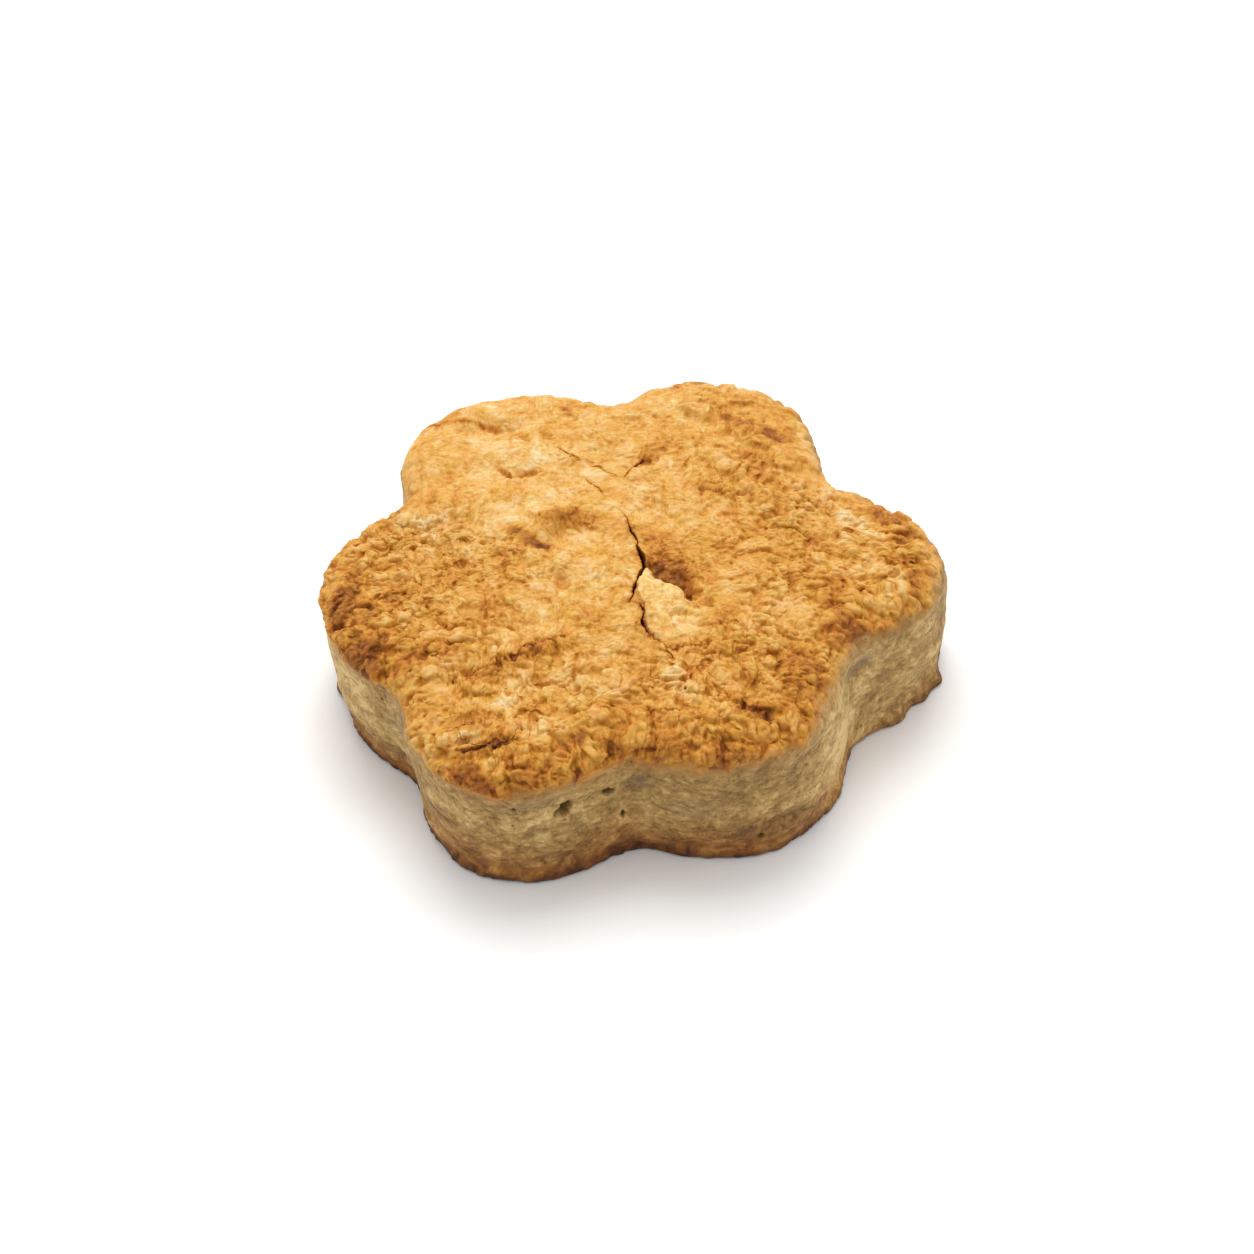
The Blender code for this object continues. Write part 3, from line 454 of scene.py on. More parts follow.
def nearest_seeds(points, size, layer):
    """Distance to the nearest and second nearest of a jittered lattice's seeds, in sizes, the way to
    the nearest from its seed, and that seed's own random values."""
    place = points / size + layer * LAYER_SHIFT
    cell = np.floor(place).astype(int)
    nearest = np.full(len(points), np.inf)
    second = nearest.copy()
    chosen = np.zeros_like(cell)
    for step in product((-1, 0, 1), repeat=3):
        pick = (cell + step) % LATTICE_SIZE
        gap = np.linalg.norm(place - (cell + step) - JITTER[tuple(pick.T)], axis=1)
        closer = gap < nearest
        second = np.where(closer, nearest, np.minimum(second, gap))
        nearest = np.where(closer, gap, nearest)
        chosen = np.where(closer[:, None], cell + step, chosen)
    pick = tuple((chosen % LATTICE_SIZE).T)
    return nearest, second, place - chosen - JITTER[pick], LATTICE[pick]


def crags(points, size, layer):
    """Broken plates: each seed has its own height, which falls to 0 halfway to the next."""
    nearest, second, _, height = nearest_seeds(points, size, layer)
    return (LEAST_CRAG + (1 - LEAST_CRAG) * height) * smooth(second - nearest, 0, CRAG_EDGE)


def plates(points, size, layer):
    """Thin plates that overlap: each seed has an oval one, tipped up toward one end and a little
    dished, and the highest shows. Gives its height, from about -1 to 1, and its own tone, from -1
    to 1."""
    place = points / size + layer * LAYER_SHIFT
    cell = np.floor(place).astype(int)
    height = np.full(len(points), -1.0)
    tone = np.zeros(len(points))
    mean, spread = np.radians(PLATE_BEARING)
    own_height, tip, dish = PLATE_FORM
    for step in product((-1, 0, 1), repeat=3):
        pick = tuple(((cell + step) % LATTICE_SIZE).T)
        own = JITTER[pick]
        way = place - (cell + step) - own
        turn = mean + spread * np.sin(40 * pi * LATTICE[pick])
        along = way[:, 0] * np.cos(turn) + way[:, 1] * np.sin(turn)
        reach = np.sqrt(along ** 2 + ((way ** 2).sum(axis=1) - along ** 2) / PLATE_WIDTH ** 2)
        rise = own_height * own[:, 0] + tip * along + dish * reach ** 2 + 0.6
        value = rise * smooth(reach, *PLATE_EDGE) - 1
        higher = value > height
        height = np.where(higher, value, height)
        tone = np.where(higher, 2 * own[:, 1] - 1, tone)
    return height - 0.3, tone


def knobs(points, wavelength, layer):
    """Rounded lumps that meet in creases: 1 - 2(1 - |noise|)^2, from -1 in a crease to 1."""
    return 1 - 2 * (1 - np.minimum(1.5 * np.abs(noise(points, wavelength, layer)), 1)) ** 2


def crests(points, wavelength, layer):
    """Sharp crests over rounded dips: 1 on a crest, where the noise is 0, and about -1 in a dip."""
    return -knobs(points, wavelength, layer)


def ledges(points, wavelength, layer):
    """Terraces: noise cut into level treads with steep fronts between them, from about -1 to 1."""
    value = noise(points, wavelength, layer) + 0.45 * noise(points, 0.5 * wavelength, layer + 1)
    steps = LEDGE_STEPS * value
    tread = np.floor(steps)
    return (tread + smooth(steps - tread, 0.4, 1.0)) / LEDGE_STEPS


def wisps(points, width, layer):
    """Crests drawn out along a bearing that changes from patch to patch."""
    total = np.zeros(len(points))
    weight = np.zeros(len(points))
    for k, bearing in enumerate(WISP_TURNS):
        turn = radians(bearing)
        along = points[:, 0] * cos(turn) + points[:, 1] * sin(turn)
        across = points[:, 1] * cos(turn) - points[:, 0] * sin(turn)
        drawn = np.column_stack([along / WISP_LENGTH, across, points[:, 2]])
        share = smooth(noise(points, 5 * width, layer + k + 5), -0.3, 0.4) + 0.05
        total += crests(drawn, width, layer + k) * share
        weight += share
    return total / weight


def dots(points, spacing, radius, layer, empty):
    """1 in the middle of small round spots, one to a seed but for the empty share of them."""
    nearest, _, _, value = nearest_seeds(points, spacing, layer)
    return smooth(radius / spacing * 1.4 - nearest, 0, radius / spacing) * (value > empty)


def outline_field(x, y):
    """Below 0 inside the flower: the soft least of the distances to the lobes' discs and the core."""
    gaps = []
    for reach, bearing, radius, stretch in LOBES.values():
        turn = radians(bearing)
        along = (x - reach * cos(turn)) * cos(turn) + (y - reach * sin(turn)) * sin(turn)
        across = (y - reach * sin(turn)) * cos(turn) - (x - reach * cos(turn)) * sin(turn)
        scaled = np.hypot(along, across / stretch)
        slope = np.hypot(along, across / stretch ** 2) / np.maximum(scaled, 1e-9)
        gaps.append((scaled - radius) / np.maximum(slope, 1e-6))
    gaps.append(np.hypot(x, y) - CORE_RADIUS)
    gaps = np.array(gaps)
    least = gaps.min(axis=0)
    return least - LOBE_BLEND * np.log(np.exp(-(gaps - least) / LOBE_BLEND).sum(axis=0))


def outline(angle):
    """The wall's points and outward directions: Newton's steps outward along each bearing."""
    away = np.array([np.cos(angle), np.sin(angle)])
    reach = np.full(angle.shape, CORE_RADIUS)
    for _ in range(SOLVER_STEPS):
        here = outline_field(*(away * reach))
        slope = (outline_field(*(away * (reach + PROBE))) - here) / PROBE
        reach = reach - SOLVER_DAMPING * here / np.maximum(slope, LEAST_SLOPE)
    x, y = away * reach
    normal = np.array([
        outline_field(x + PROBE, y) - outline_field(x - PROBE, y),
        outline_field(x, y + PROBE) - outline_field(x, y - PROBE),
    ])
    return np.array([x, y]).T, (normal / np.linalg.norm(normal, axis=0)).T


def wall_offset(height):
    """How far the wall stands out from the outline: the foot's flare, then a slow swell."""
    flare = FOOT_FLARE * np.exp(-((height / FOOT_HEIGHT) ** 2))
    return flare + WALL_BULGE * np.sin(pi * height / (HEIGHT - RIM_DROP)) ** 2


def profile():
    """Height and offset of each row, from the edge of the top down to the base: a quarter turn of
    the rim, the wall, and the foot, which rounds in under itself."""
    bend = 0.5 * pi * (1 - np.arange(RIM_ROWS + 1) / RIM_ROWS)
    rim = np.column_stack([HEIGHT - RIM_DROP * (1 - np.sin(bend)), -RIM_WIDTH * (1 - np.cos(bend))])
    height = np.linspace(HEIGHT - RIM_DROP, FOOT_HEIGHT, WALL_ROWS + 1)[1:]
    wall = np.column_stack([height, wall_offset(height)])
    height = FOOT_HEIGHT * (1 - np.arange(1, FOOT_ROWS + 1) / FOOT_ROWS) ** 1.3
    under = np.clip(1 - height / (FOOT_RING * FOOT_HEIGHT), 0, 1)
    foot = np.column_stack([height, wall_offset(height) - FOOT_UNDERCUT * (1 - np.sqrt(1 - under ** 2))])
    return np.concatenate([rim, wall, foot])


def near_bearing(angle, spots, bearing, width):
    """1 at a bearing, falling along the wall as exp(-(gap / width)^2)."""
    turn = np.abs((angle - radians(bearing) + pi) % (2 * pi) - pi)
    return np.exp(-((turn * np.linalg.norm(spots, axis=1) / width) ** 2))


def wall_growth(angle, height, spots):
    """How far the wall stands out or tucks in, low down and along the rim, with a crumbling edge along
    the foot."""
    wavelength, size = FOOT_RAGGED
    ragged = size * noise(np.column_stack([spots, 0 * height]), wavelength, 8)
    growth = ragged * (1 - smooth(height, 0.5 * FOOT_HEIGHT, FOOT_HEIGHT))
    for bearing, width, fade, reach in FOOT_SWELLS.values():
        growth += reach * near_bearing(angle, spots, bearing, width) * (1 - smooth(height, 0.0, fade))
    for bearing, width, reach in RIM_SWELLS.values():
        growth += reach * near_bearing(angle, spots, bearing, width) * smooth(height, *RIM_SWELL_RISE)
    return growth


def square_to_disc(a, b):
    """Share of the radius and bearing of a point of the square, its rings kept as even circles."""
    share = np.maximum(np.abs(a), np.abs(b))
    wide = np.abs(a) >= np.abs(b)
    lead = np.where(wide, a, b)
    ratio = np.where(wide, b, a) / np.where(lead == 0, 1, lead)
    bearing = np.where(wide, pi / 4 * ratio, pi / 2 - pi / 4 * ratio)
    return share, np.where(lead < 0, bearing + pi, bearing)


def near_route(points, route, within=ROUTE_REACH):
    """Distance on the plan to a route of straight runs, the nearest point, and how far along it is,
    counted in runs. Points further from the route's box than the given distance are left out."""
    route = np.array(route) * MM
    best = np.full(len(points), np.inf)
    spot = points[:, :2].copy()
    reached = np.zeros(len(points))
    off = np.maximum(route.min(axis=0) - points[:, :2], points[:, :2] - route.max(axis=0))
    near = np.flatnonzero(off.max(axis=1) < within)
    here = points[near, :2]
    for k, (start, end) in enumerate(zip(route[:-1], route[1:])):
        run = end - start
        share = np.clip(((here - start) @ run) / (run @ run), 0, 1)
        foot = start + share[:, None] * run
        gap = np.linalg.norm(here - foot, axis=1)
        closer = gap < best[near]
        pick = near[closer]
        best[pick], spot[pick], reached[pick] = gap[closer], foot[closer], (k + share)[closer]
    return best, spot, reached


def mound(points, centre, reach, turn=0):
    """1 in the middle of an oval patch of the plan, falling as exp(-r^3) past its edge. The first reach
    lies along the bearing it is turned to, in degrees."""
    gap = points[:, :2] - np.array(centre)
    along = gap @ np.array([cos(radians(turn)), sin(radians(turn))])
    across = gap @ np.array([-sin(radians(turn)), cos(radians(turn))])
    return np.exp(-((along / reach[0]) ** 2 + (across / reach[1]) ** 2) ** 1.5)


def inside_depth(points, corners):
    """Distance to a polygon's edge on the plan, above 0 inside it: even-odd crossings give the sign."""
    gap, _, _ = near_route(points, (*corners, corners[0]), EDGE_REACH)
    x, y = points[:, 0], points[:, 1]
    corners = np.array(corners) * MM
    inside = np.zeros(len(points), bool)
    for (x1, y1), (x2, y2) in zip(corners, np.roll(corners, -1, axis=0)):
        crosses = (y1 > y) != (y2 > y)
        inside ^= crosses & (x < (x2 - x1) * (y - y1) / (y2 - y1 + 1e-12) + x1)
    return np.where(inside, gap, -gap)


# --- the relief ---------------------------------------------------------------------------------
def crust_share(points):
    """1 on the crust, 0 on the wall."""
    return smooth(points[:, 2], HEIGHT - 1.3 * RIM_DROP, HEIGHT - 0.5 * RIM_DROP)


def off_middle(points):
    """0 on the calm middle of the top, 1 on its lobes."""
    return smooth(np.hypot(points[:, 0], points[:, 1]), 0.5 * CALM_RADIUS, CALM_RADIUS)


def back_left_share(points):
    """1 on the back left lobe, whose crust is smoother than the others'."""
    return mound(points, *SMOOTH_LOBE)


def roughness_share(points):
    """0 on the calm middle and back left of the top, 1 on the craggy lobes, and less at the back."""
    start, end, calmed = BACK_CALM
    rough = off_middle(points) * (1 - SMOOTH_SHARE * back_left_share(points))
    return rough * (1 - calmed * smooth(points[:, 1], start, end))


def broad_relief(points):
    """The solid's own relief: swells, lumps and crags on the crust, striations on the wall."""
    crust = crust_share(points)
    clear = smooth(points[:, 2], 0.2 * FOOT_HEIGHT, FOOT_HEIGHT)
    rough = CALM_SHARE + (1 - CALM_SHARE) * off_middle(points)
    rough = rough * (1 - SMOOTH_SHARE * back_left_share(points))
    from_middle = np.hypot(points[:, 0], points[:, 1])
    inner = 1 - smooth(from_middle, CORE_RADIUS, CORE_RADIUS + 2 * RIM_WIDTH)
    out = UNDULATION[1] * noise(points, UNDULATION[0], 1) * crust * inner
    out += LUMPS[1] * noise(points, LUMPS[0], 2) * (LUMPS_ON_WALL + (1 - LUMPS_ON_WALL) * crust)
    warped = moved_about(points, ((LUMPS[0], CRAG_WARP),), 3)
    out += CRAGS[1] * crags(warped, CRAGS[0], 1) * rough * crust
    length, spacing, height = STRIATION
    out += height * noise(points * np.array([1, 1, length / spacing]), length, 6) * (1 - crust)
    for route, width, depth in GROOVES.values():
        out -= depth * np.exp(-((near_route(points, route)[0] / width) ** 2)) * crust
    return out * clear


def spot_sums(points, spots=TOP_SPOTS):
    """How much browner each point is for the listed spots, and how far they lift it, their edges moved
    about by noise."""
    moved = moved_about(points, SPOT_SWAY, 100, axes=2)
    browner = np.zeros(len(points))
    lifted = np.zeros(len(points))
    for centre, reach, turn, tone, lift in spots:
        share = mound(moved, np.array(centre) * MM, np.array(reach) * SPOT_SPREAD * MM, turn)
        browner += tone * share
        lifted += lift * MM * share
    return browner, lifted


def fold_share(points):
    """The folds of the rolled dough, from -1 to 1: noise drawn out along arcs round a place in front."""
    distance, spacing, length, _, _ = FOLDS
    x, y = points[:, 0], points[:, 1] + distance
    turned = np.column_stack([np.arctan2(x, y) * distance / length, np.hypot(x, y), points[:, 2]])
    return noise(turned, spacing, 111) + 0.5 * noise(turned, 0.5 * spacing, 112)


def crease_sums(points):
    """How much painted shade darkens the finer creases, and how deep, each falling as
    exp(-(gap / width)^2).
    """
    browner = np.zeros(len(points))
    sunk = np.zeros(len(points))
    wavy = moved_about(points, CREASE_SWAY, 113)
    for route, width, depth, tone in CREASES.values():
        gap, _, reached = near_route(wavy, route)
        ends = smooth(reached, 0, 0.8) * smooth(len(route) - 1 - reached, 0, 0.8)
        share = np.exp(-((gap / width) ** 2)) * (CREASE_END + (1 - CREASE_END) * ends)
        browner += tone * share
        sunk += depth * share
    return browner, sunk


def flake_depth(points):
    """How far each point lies inside the flake's torn edge."""
    return inside_depth(moved_about(points, FLAKE_TEAR, 26, axes=2), FLAKE)


def flake_relief(points):
    """The lifted flake steps up at its back edge and sinks again to the front; behind that edge the
    hollow deepens toward it as exp(-(gap / reach)^2). Gives the height and the hollow's share."""
    depth = flake_depth(points)
    lift, step = FLAKE_LIFT
    reach, half_width, middle, sunk = HOLLOW
    low, high, front = FLAKE_FRONT
    back = smooth(points[:, 1], low, high)
    raised = lift * smooth(depth, -0.2 * step, step) * (front + (1 - front) * back)
    hollow = np.exp(-((np.maximum(-depth, 0) / reach) ** 2)) * smooth(-depth, 0, HOLLOW_WALL)
    hollow = hollow * np.exp(-np.abs((points[:, 0] - middle) / half_width) ** 3)
    for axis, (low, high) in enumerate(HOLLOW_START):
        hollow = hollow * smooth(points[:, axis], low, high)
    return raised - sunk * hollow, hollow


def flake_share(points):
    """1 on the flake's pale crumb: cut off sharply at the back and left, fading out to the right."""
    low, high, slant, lost = FLAKE_FADE
    right = smooth(points[:, 0] - slant * points[:, 1], low, high)
    share = smooth(flake_depth(points), -0.05 * MM, 0.15 * MM + 2.5 * MM * right) * (1 - lost * right)
    strength, most = FLAKE_STAIN
    return share * (1 - np.clip(strength * spot_sums(points, FLAKE_STAINS)[0], 0, most))


def crack_relief(points):
    """Each crack is a V as deep as its route says, between lips that rise as exp(-(gap / width)^2).
    Gives the height, how far into a crack each point is, from 0 to 1, and how near to one."""
    out = np.zeros(len(points))
    inside = np.zeros(len(points))
    beside = np.zeros(len(points))
    torn = 1 + noises(points, CRACK_TEAR)
    for route, widths, depths in CRACKS.values():
        gap, _, reached = near_route(points, route)
        steps = np.arange(len(route))
        width = np.interp(reached, steps, widths) * MM * torn
        depth = np.interp(reached, steps, depths) * MM
        share = np.clip(1 - gap / width, 0, 1) ** 0.8
        lip = LIP[1] * np.clip(depth / MM, 0, 1) * np.exp(-((gap / LIP[0]) ** 2))
        out += lip * (1 - share) - depth * share
        inside = np.maximum(inside, smooth(share, 0.0, 0.4) * smooth(depth, *CRACK_SHADE))
        thin = np.exp(-((gap / (width + 0.18 * MM)) ** 2)) * smooth(depth, 0.0, 0.3 * MM)
        beside = np.maximum(beside, thin)
    return out, inside, beside


def wall_place(points, bearing, height):
    """How far each point lies along the wall and up it from a place on the wall, in metres. Points on
    the other side of the cookie are given as far off."""
    spot, away = outline(np.array([radians(bearing)]))
    way = points[:, :2] - spot[0] - np.array(LEAN) * height / HEIGHT
    along = way @ np.array([-away[0][1], away[0][0]])
    return np.where(np.abs(way @ away[0]) < WALL_REACH, along, 1.0), points[:, 2] - height


def hole_relief(points):
    """Oval holes in the wall: -depth sqrt(1 - r^2), with r measured along the wall and up it."""
    out = np.zeros(len(points))
    inside = np.zeros(len(points))
    ragged = noises(points, HOLE_TEAR)
    for bearing, height, half_length, half_height, depth in WALL_HOLES.values():
        along, up = wall_place(points, bearing, height)
        share = np.sqrt(np.clip(1 - (np.hypot(along / half_length, up / half_height) + ragged) ** 2, 0, 1))
        out -= depth * share
        inside = np.maximum(inside, share)
    return out, inside


def wall_spots(points, places, uneven):
    """The sum of ovals on the wall, each falling as exp(-r^2), made uneven by noise."""
    share = np.zeros(len(points))
    ragged = 1 + uneven * noise(points, 1.2 * MM, 22)
    for bearing, height, half_length, half_height, strength in places.values():
        along, up = wall_place(points, bearing, height)
        share += strength * np.exp(-(along / half_length) ** 2 - (up / half_height) ** 2)
    return share * ragged


def crumb_relief(points):
    """The crust's own crumb: each layer, from -1 to 1, times its height. Gives the height, how far each
    point stands out among its neighbours, the pits, and the thin plates' own tones."""
    rough = roughness_share(points)
    moved = moved_about(points, WANDER, 70)
    layers = CRUMB_LAYERS
    scale, scale_tone = plates(moved, layers["scales"][0], 16)
    values = {
        "ledges": ledges(moved, layers["ledges"][0], 11),
        "knobs": knobs(moved, layers["knobs"][0], 13),
        "nubs": knobs(moved, layers["nubs"][0], 14),
        "scales": scale,
        "beads": knobs(moved, layers["beads"][0], 15),
        "grains": knobs(moved, layers["grains"][0], 17),
        "wisps": wisps(moved, layers["wisps"][0], 81),
        "threads": wisps(moved, layers["threads"][0], 92),
    }
    out = np.full(len(points), CRUST_STEP - CRUST_SETTLE)
    stand = np.zeros(len(points))
    patch = (1 + noises(points, CRUMB_PATCHES)) * (1 - SMOOTH_CRUMB * back_left_share(points))
    for name, (_, calm_height, rough_height, share) in layers.items():
        out += (calm_height + (rough_height - calm_height) * rough) * patch * values[name]
        stand += share * values[name]
    spacing, radius, depth, empty = PITS
    pits = dots(moved, spacing, radius, 5, empty) * (PITS_ON_CALM + (1 - PITS_ON_CALM) * rough)
    return np.array([out - depth * pits, stand, pits, PLATE_TONE * scale_tone])


def drawn_along(points, length, spacing):
    """Places squeezed along the wall by spacing / length, so that what is read there is drawn out."""
    return points * np.array([spacing / length, spacing / length, 1])


def wall_relief(points):
    """The wall's crumb: soft bands and lumps, crests drawn out along the wall as fibres, and sharper
    creases where layers end, with small pits. Gives the height, how far each point stands out, the
    pits and creases, and the bands' own tones."""
    sway = moved_about(points, WALL_SWAY, 31)
    out = np.zeros(len(points))
    stand = np.zeros(len(points))
    tone = np.zeros(len(points))
    for k, (length, spacing, height, share) in enumerate(WALL_BANDS.values()):
        value = BAND_GAIN * noise(drawn_along(sway, length, spacing), spacing, 51 + k)
        out += height * value
        tone += share * value
    for k, (length, spacing, height, share, form) in enumerate(WALL_FIBRES.values()):
        value = form * crests(drawn_along(sway, length, spacing), spacing, 54 + k)
        out += height * value
        stand += share * value
    length, spacing, depth, dark = WALL_LINES
    line = smooth(crests(drawn_along(sway, length, spacing), spacing, 58), 0.8, 0.98)
    line = line * smooth(noise(points, 4.0 * MM, 59), -0.2, 0.4)
    spacing, radius, pit_depth, empty = WALL_PITS
    pits = dots(sway * np.array([0.7, 0.7, 1]), spacing, radius, 6, empty)
    return np.array([out - depth * line - pit_depth * pits, stand, np.maximum(pits, dark * line), tone])


def calm_at_edge(points, edge):
    """The share of the crumb's height that is left near the crust's lower edge."""
    behind = smooth(points[:, 1], *EDGE_BEHIND)[:, None]
    low, high, least = (np.array(EDGE_CALM[0]) * (1 - behind) + np.array(EDGE_CALM[1]) * behind).T
    share = smooth(edge, low, high)
    return share + least * (1 - share)


def only_where(part, relief, points):
    """A relief's four values on one part of the skin, and 0 on the rest."""
    values = np.zeros((4, len(points)))
    values[:, part] = relief(points[part])
    return values


def foot_relief(points):
    """Packed crumbs on the browned foot: a raised bead on each seed, their places moved about."""
    size, height = FOOT_CRUMBLE
    nearest, second, _, value = nearest_seeds(moved_about(points, WANDER, 70), size, 7)
    bead = (0.35 + 0.65 * value) * (1 - np.minimum(nearest, 1) ** 2) * smooth(second - nearest, 0, 0.4)
    return height * bead * smooth(points[:, 2], 0, 0.25 * MM)


# --- the browning -------------------------------------------------------------------------------
def toast(points):
    """How browned the crust is, 0 pale to 1 scorched: the lobes' tones blended by exp(-(gap/reach)^2),
    more along the rim, with drifting patches, the named spots, painted shade in the creases, and the folds."""
    weight = np.exp(-((points[:, 0] ** 2 + points[:, 1] ** 2) / (MIDDLE_SPREAD * TOAST_REACH) ** 2))
    total = weight * TOAST_MIDDLE
    for name, (reach, bearing, _, _) in LOBES.items():
        turn = radians(bearing)
        gap = points[:, :2] - LOBE_SPREAD * reach * np.array([cos(turn), sin(turn)])
        share = np.exp(-((gap ** 2).sum(axis=1) / TOAST_REACH ** 2))
        total += share * TOAST[name]
        weight += share
    tone = total / weight + noises(points, DRIFTS)
    ragged = 1 + noises(points, SPOT_PATCHES)
    all_round, in_front, front, up = RIM_TOAST
    rim = (all_round + in_front * smooth(points[:, 1], *front)) * smooth(crust_edge(points), *up)
    spots, creases = spot_sums(points)[0], crease_sums(points)[0]
    return tone + spots * ragged + creases + FOLDS[4] * fold_share(points) + rim


def bearing_lift(points, places):
    """The sum of named lifts along the wall, each given by its bearing, half width and size."""
    angle = np.arctan2(points[:, 1] - LEAN[1], points[:, 0] - LEAN[0])
    spots = points[:, :2]
    return sum(size * near_bearing(angle, spots, bearing, width) for bearing, width, size in places.values())


def crust_edge(points):
    """How far each point lies above the crust's lower edge, which wanders, and lies lower on the left
    than on the right."""
    drop, slope = CRUST_EDGE
    edge = HEIGHT - drop + slope * points[:, 0] + bearing_lift(points, EDGE_LIFTS)
    return points[:, 2] + noises(points, CRUST_EDGE_TEAR) - edge


def foot_edge(points):
    """1 on the browned foot, 0 on the wall, with a ragged top, raised as painted shade on the front-facing
    foot and lowered on the right.
    """
    height = points[:, 2] + noises(points, FOOT_EDGE_TEAR) - bearing_lift(points, FOOT_BROWNS_AND_SHADE)
    return 1 - smooth(height, *FOOT_EDGE)


def low_share(points):
    """1 on the browner lower wall, 0 above it: the middle of the wall, with a very ragged top, raised
    at the front with the foot's painted shade.
    """
    height = points[:, 2] + noises(points, LOW_WALL_TEAR) - LOW_WALL_LIFT * bearing_lift(points, FOOT_BROWNS_AND_SHADE)
    return 1 - smooth(height, *LOW_WALL)


# --- meshes -------------------------------------------------------------------------------------
def vertex_normals(points, triangles):
    """The mean of the normals of the faces round each point, larger faces counting more."""
    a, b, c = points[triangles].transpose(1, 0, 2)
    face = np.cross(b - a, c - a)
    around = triangles.ravel()
    total = [np.bincount(around, np.repeat(face[:, k], 3), len(points)) for k in range(3)]
    total = np.column_stack(total)
    return total / np.maximum(np.linalg.norm(total, axis=1), 1e-20)[:, None]


def split_quads(points, quads):
    """Two triangles for each quad, parted along its shorter diagonal."""
    first = np.linalg.norm(points[quads[:, 0]] - points[quads[:, 2]], axis=1)
    second = np.linalg.norm(points[quads[:, 1]] - points[quads[:, 3]], axis=1)
    turned = np.where((first <= second)[:, None], quads, np.roll(quads, 1, axis=1))
    return np.concatenate([turned[:, [0, 1, 2]], turned[:, [0, 2, 3]]])


def put_mesh(name, points, normals, triangles, material, values):
    """A smooth-shaded piece from whole arrays, with a named value at each point for its material."""
    mesh = bpy.data.meshes.new(name)
    mesh.vertices.add(len(points))
    mesh.vertices.foreach_set("co", points.astype(np.float32).ravel())
    mesh.loops.add(triangles.size)
    mesh.loops.foreach_set("vertex_index", triangles.astype(np.int32).ravel())
    mesh.polygons.add(len(triangles))
    mesh.polygons.foreach_set("loop_start", np.arange(0, triangles.size, 3, dtype=np.int32))
    mesh.update(calc_edges=True)
    mesh.polygons.foreach_set("use_smooth", np.ones(len(triangles), bool))
    mesh.normals_split_custom_set_from_vertices(normals)
    for key, value in values.items():
        mesh.attributes.new(key, "FLOAT", "POINT").data.foreach_set("value", value.astype(np.float32))
    mesh.materials.append(material)
    piece = bpy.data.objects.new(name, mesh)
    bpy.context.scene.collection.objects.link(piece)
    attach(piece, "root")
    return piece


def put_share(name, points, normals, triangles, material, values):
    """A share of the skin as a closed piece: its border is joined by quads to a copy of itself drawn
    towards the cookie's middle, well under any pit, and each edge of that copy by one triangle to the
    middle, so that neighbouring shares meet face to face."""
    starts, ends = triangles.ravel(), np.roll(triangles, -1, axis=1).ravel()
    border = ~np.isin(starts * len(points) + ends, ends * len(points) + starts)
    first, last = starts[border], ends[border]
    used, rim = np.unique(triangles), np.unique(first)
    number, under = np.zeros((2, len(points)), int)
    number[used] = np.arange(len(used))
    under[rim] = len(used) + np.arange(len(rim))
    inner = np.concatenate([
        np.column_stack([number[last], number[first], under[first]]),
        np.column_stack([number[last], under[first], under[last]]),
        np.column_stack([under[last], under[first], np.full(len(first), len(used) + len(rim))])])
    middle = MIDDLE + ORIGIN_SHIFT
    drawn_in = middle + (points[rim] - middle) * CUT_DRAW
    points = np.concatenate([points[used], drawn_in, [middle]])
    normals = np.concatenate([normals[used], normals[rim], [[0.0, 0.0, -1.0]]])
    values = {key: np.concatenate([value[used], value[rim], [0]]) for key, value in values.items()}
    triangles = np.concatenate([number[triangles], inner])
    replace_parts(put_mesh(name, points, normals, triangles, material, values), NODE)


def quarter(a, b):
    """The quarter of the crust that a place on the square lies in, as a number into SHARES."""
    return 2 * (b > 0) + (a > 0)


def half(b):
    """The half of the wall that a place on the square's border lies in, as a number into SHARES."""
    return 4 + (b > 0)


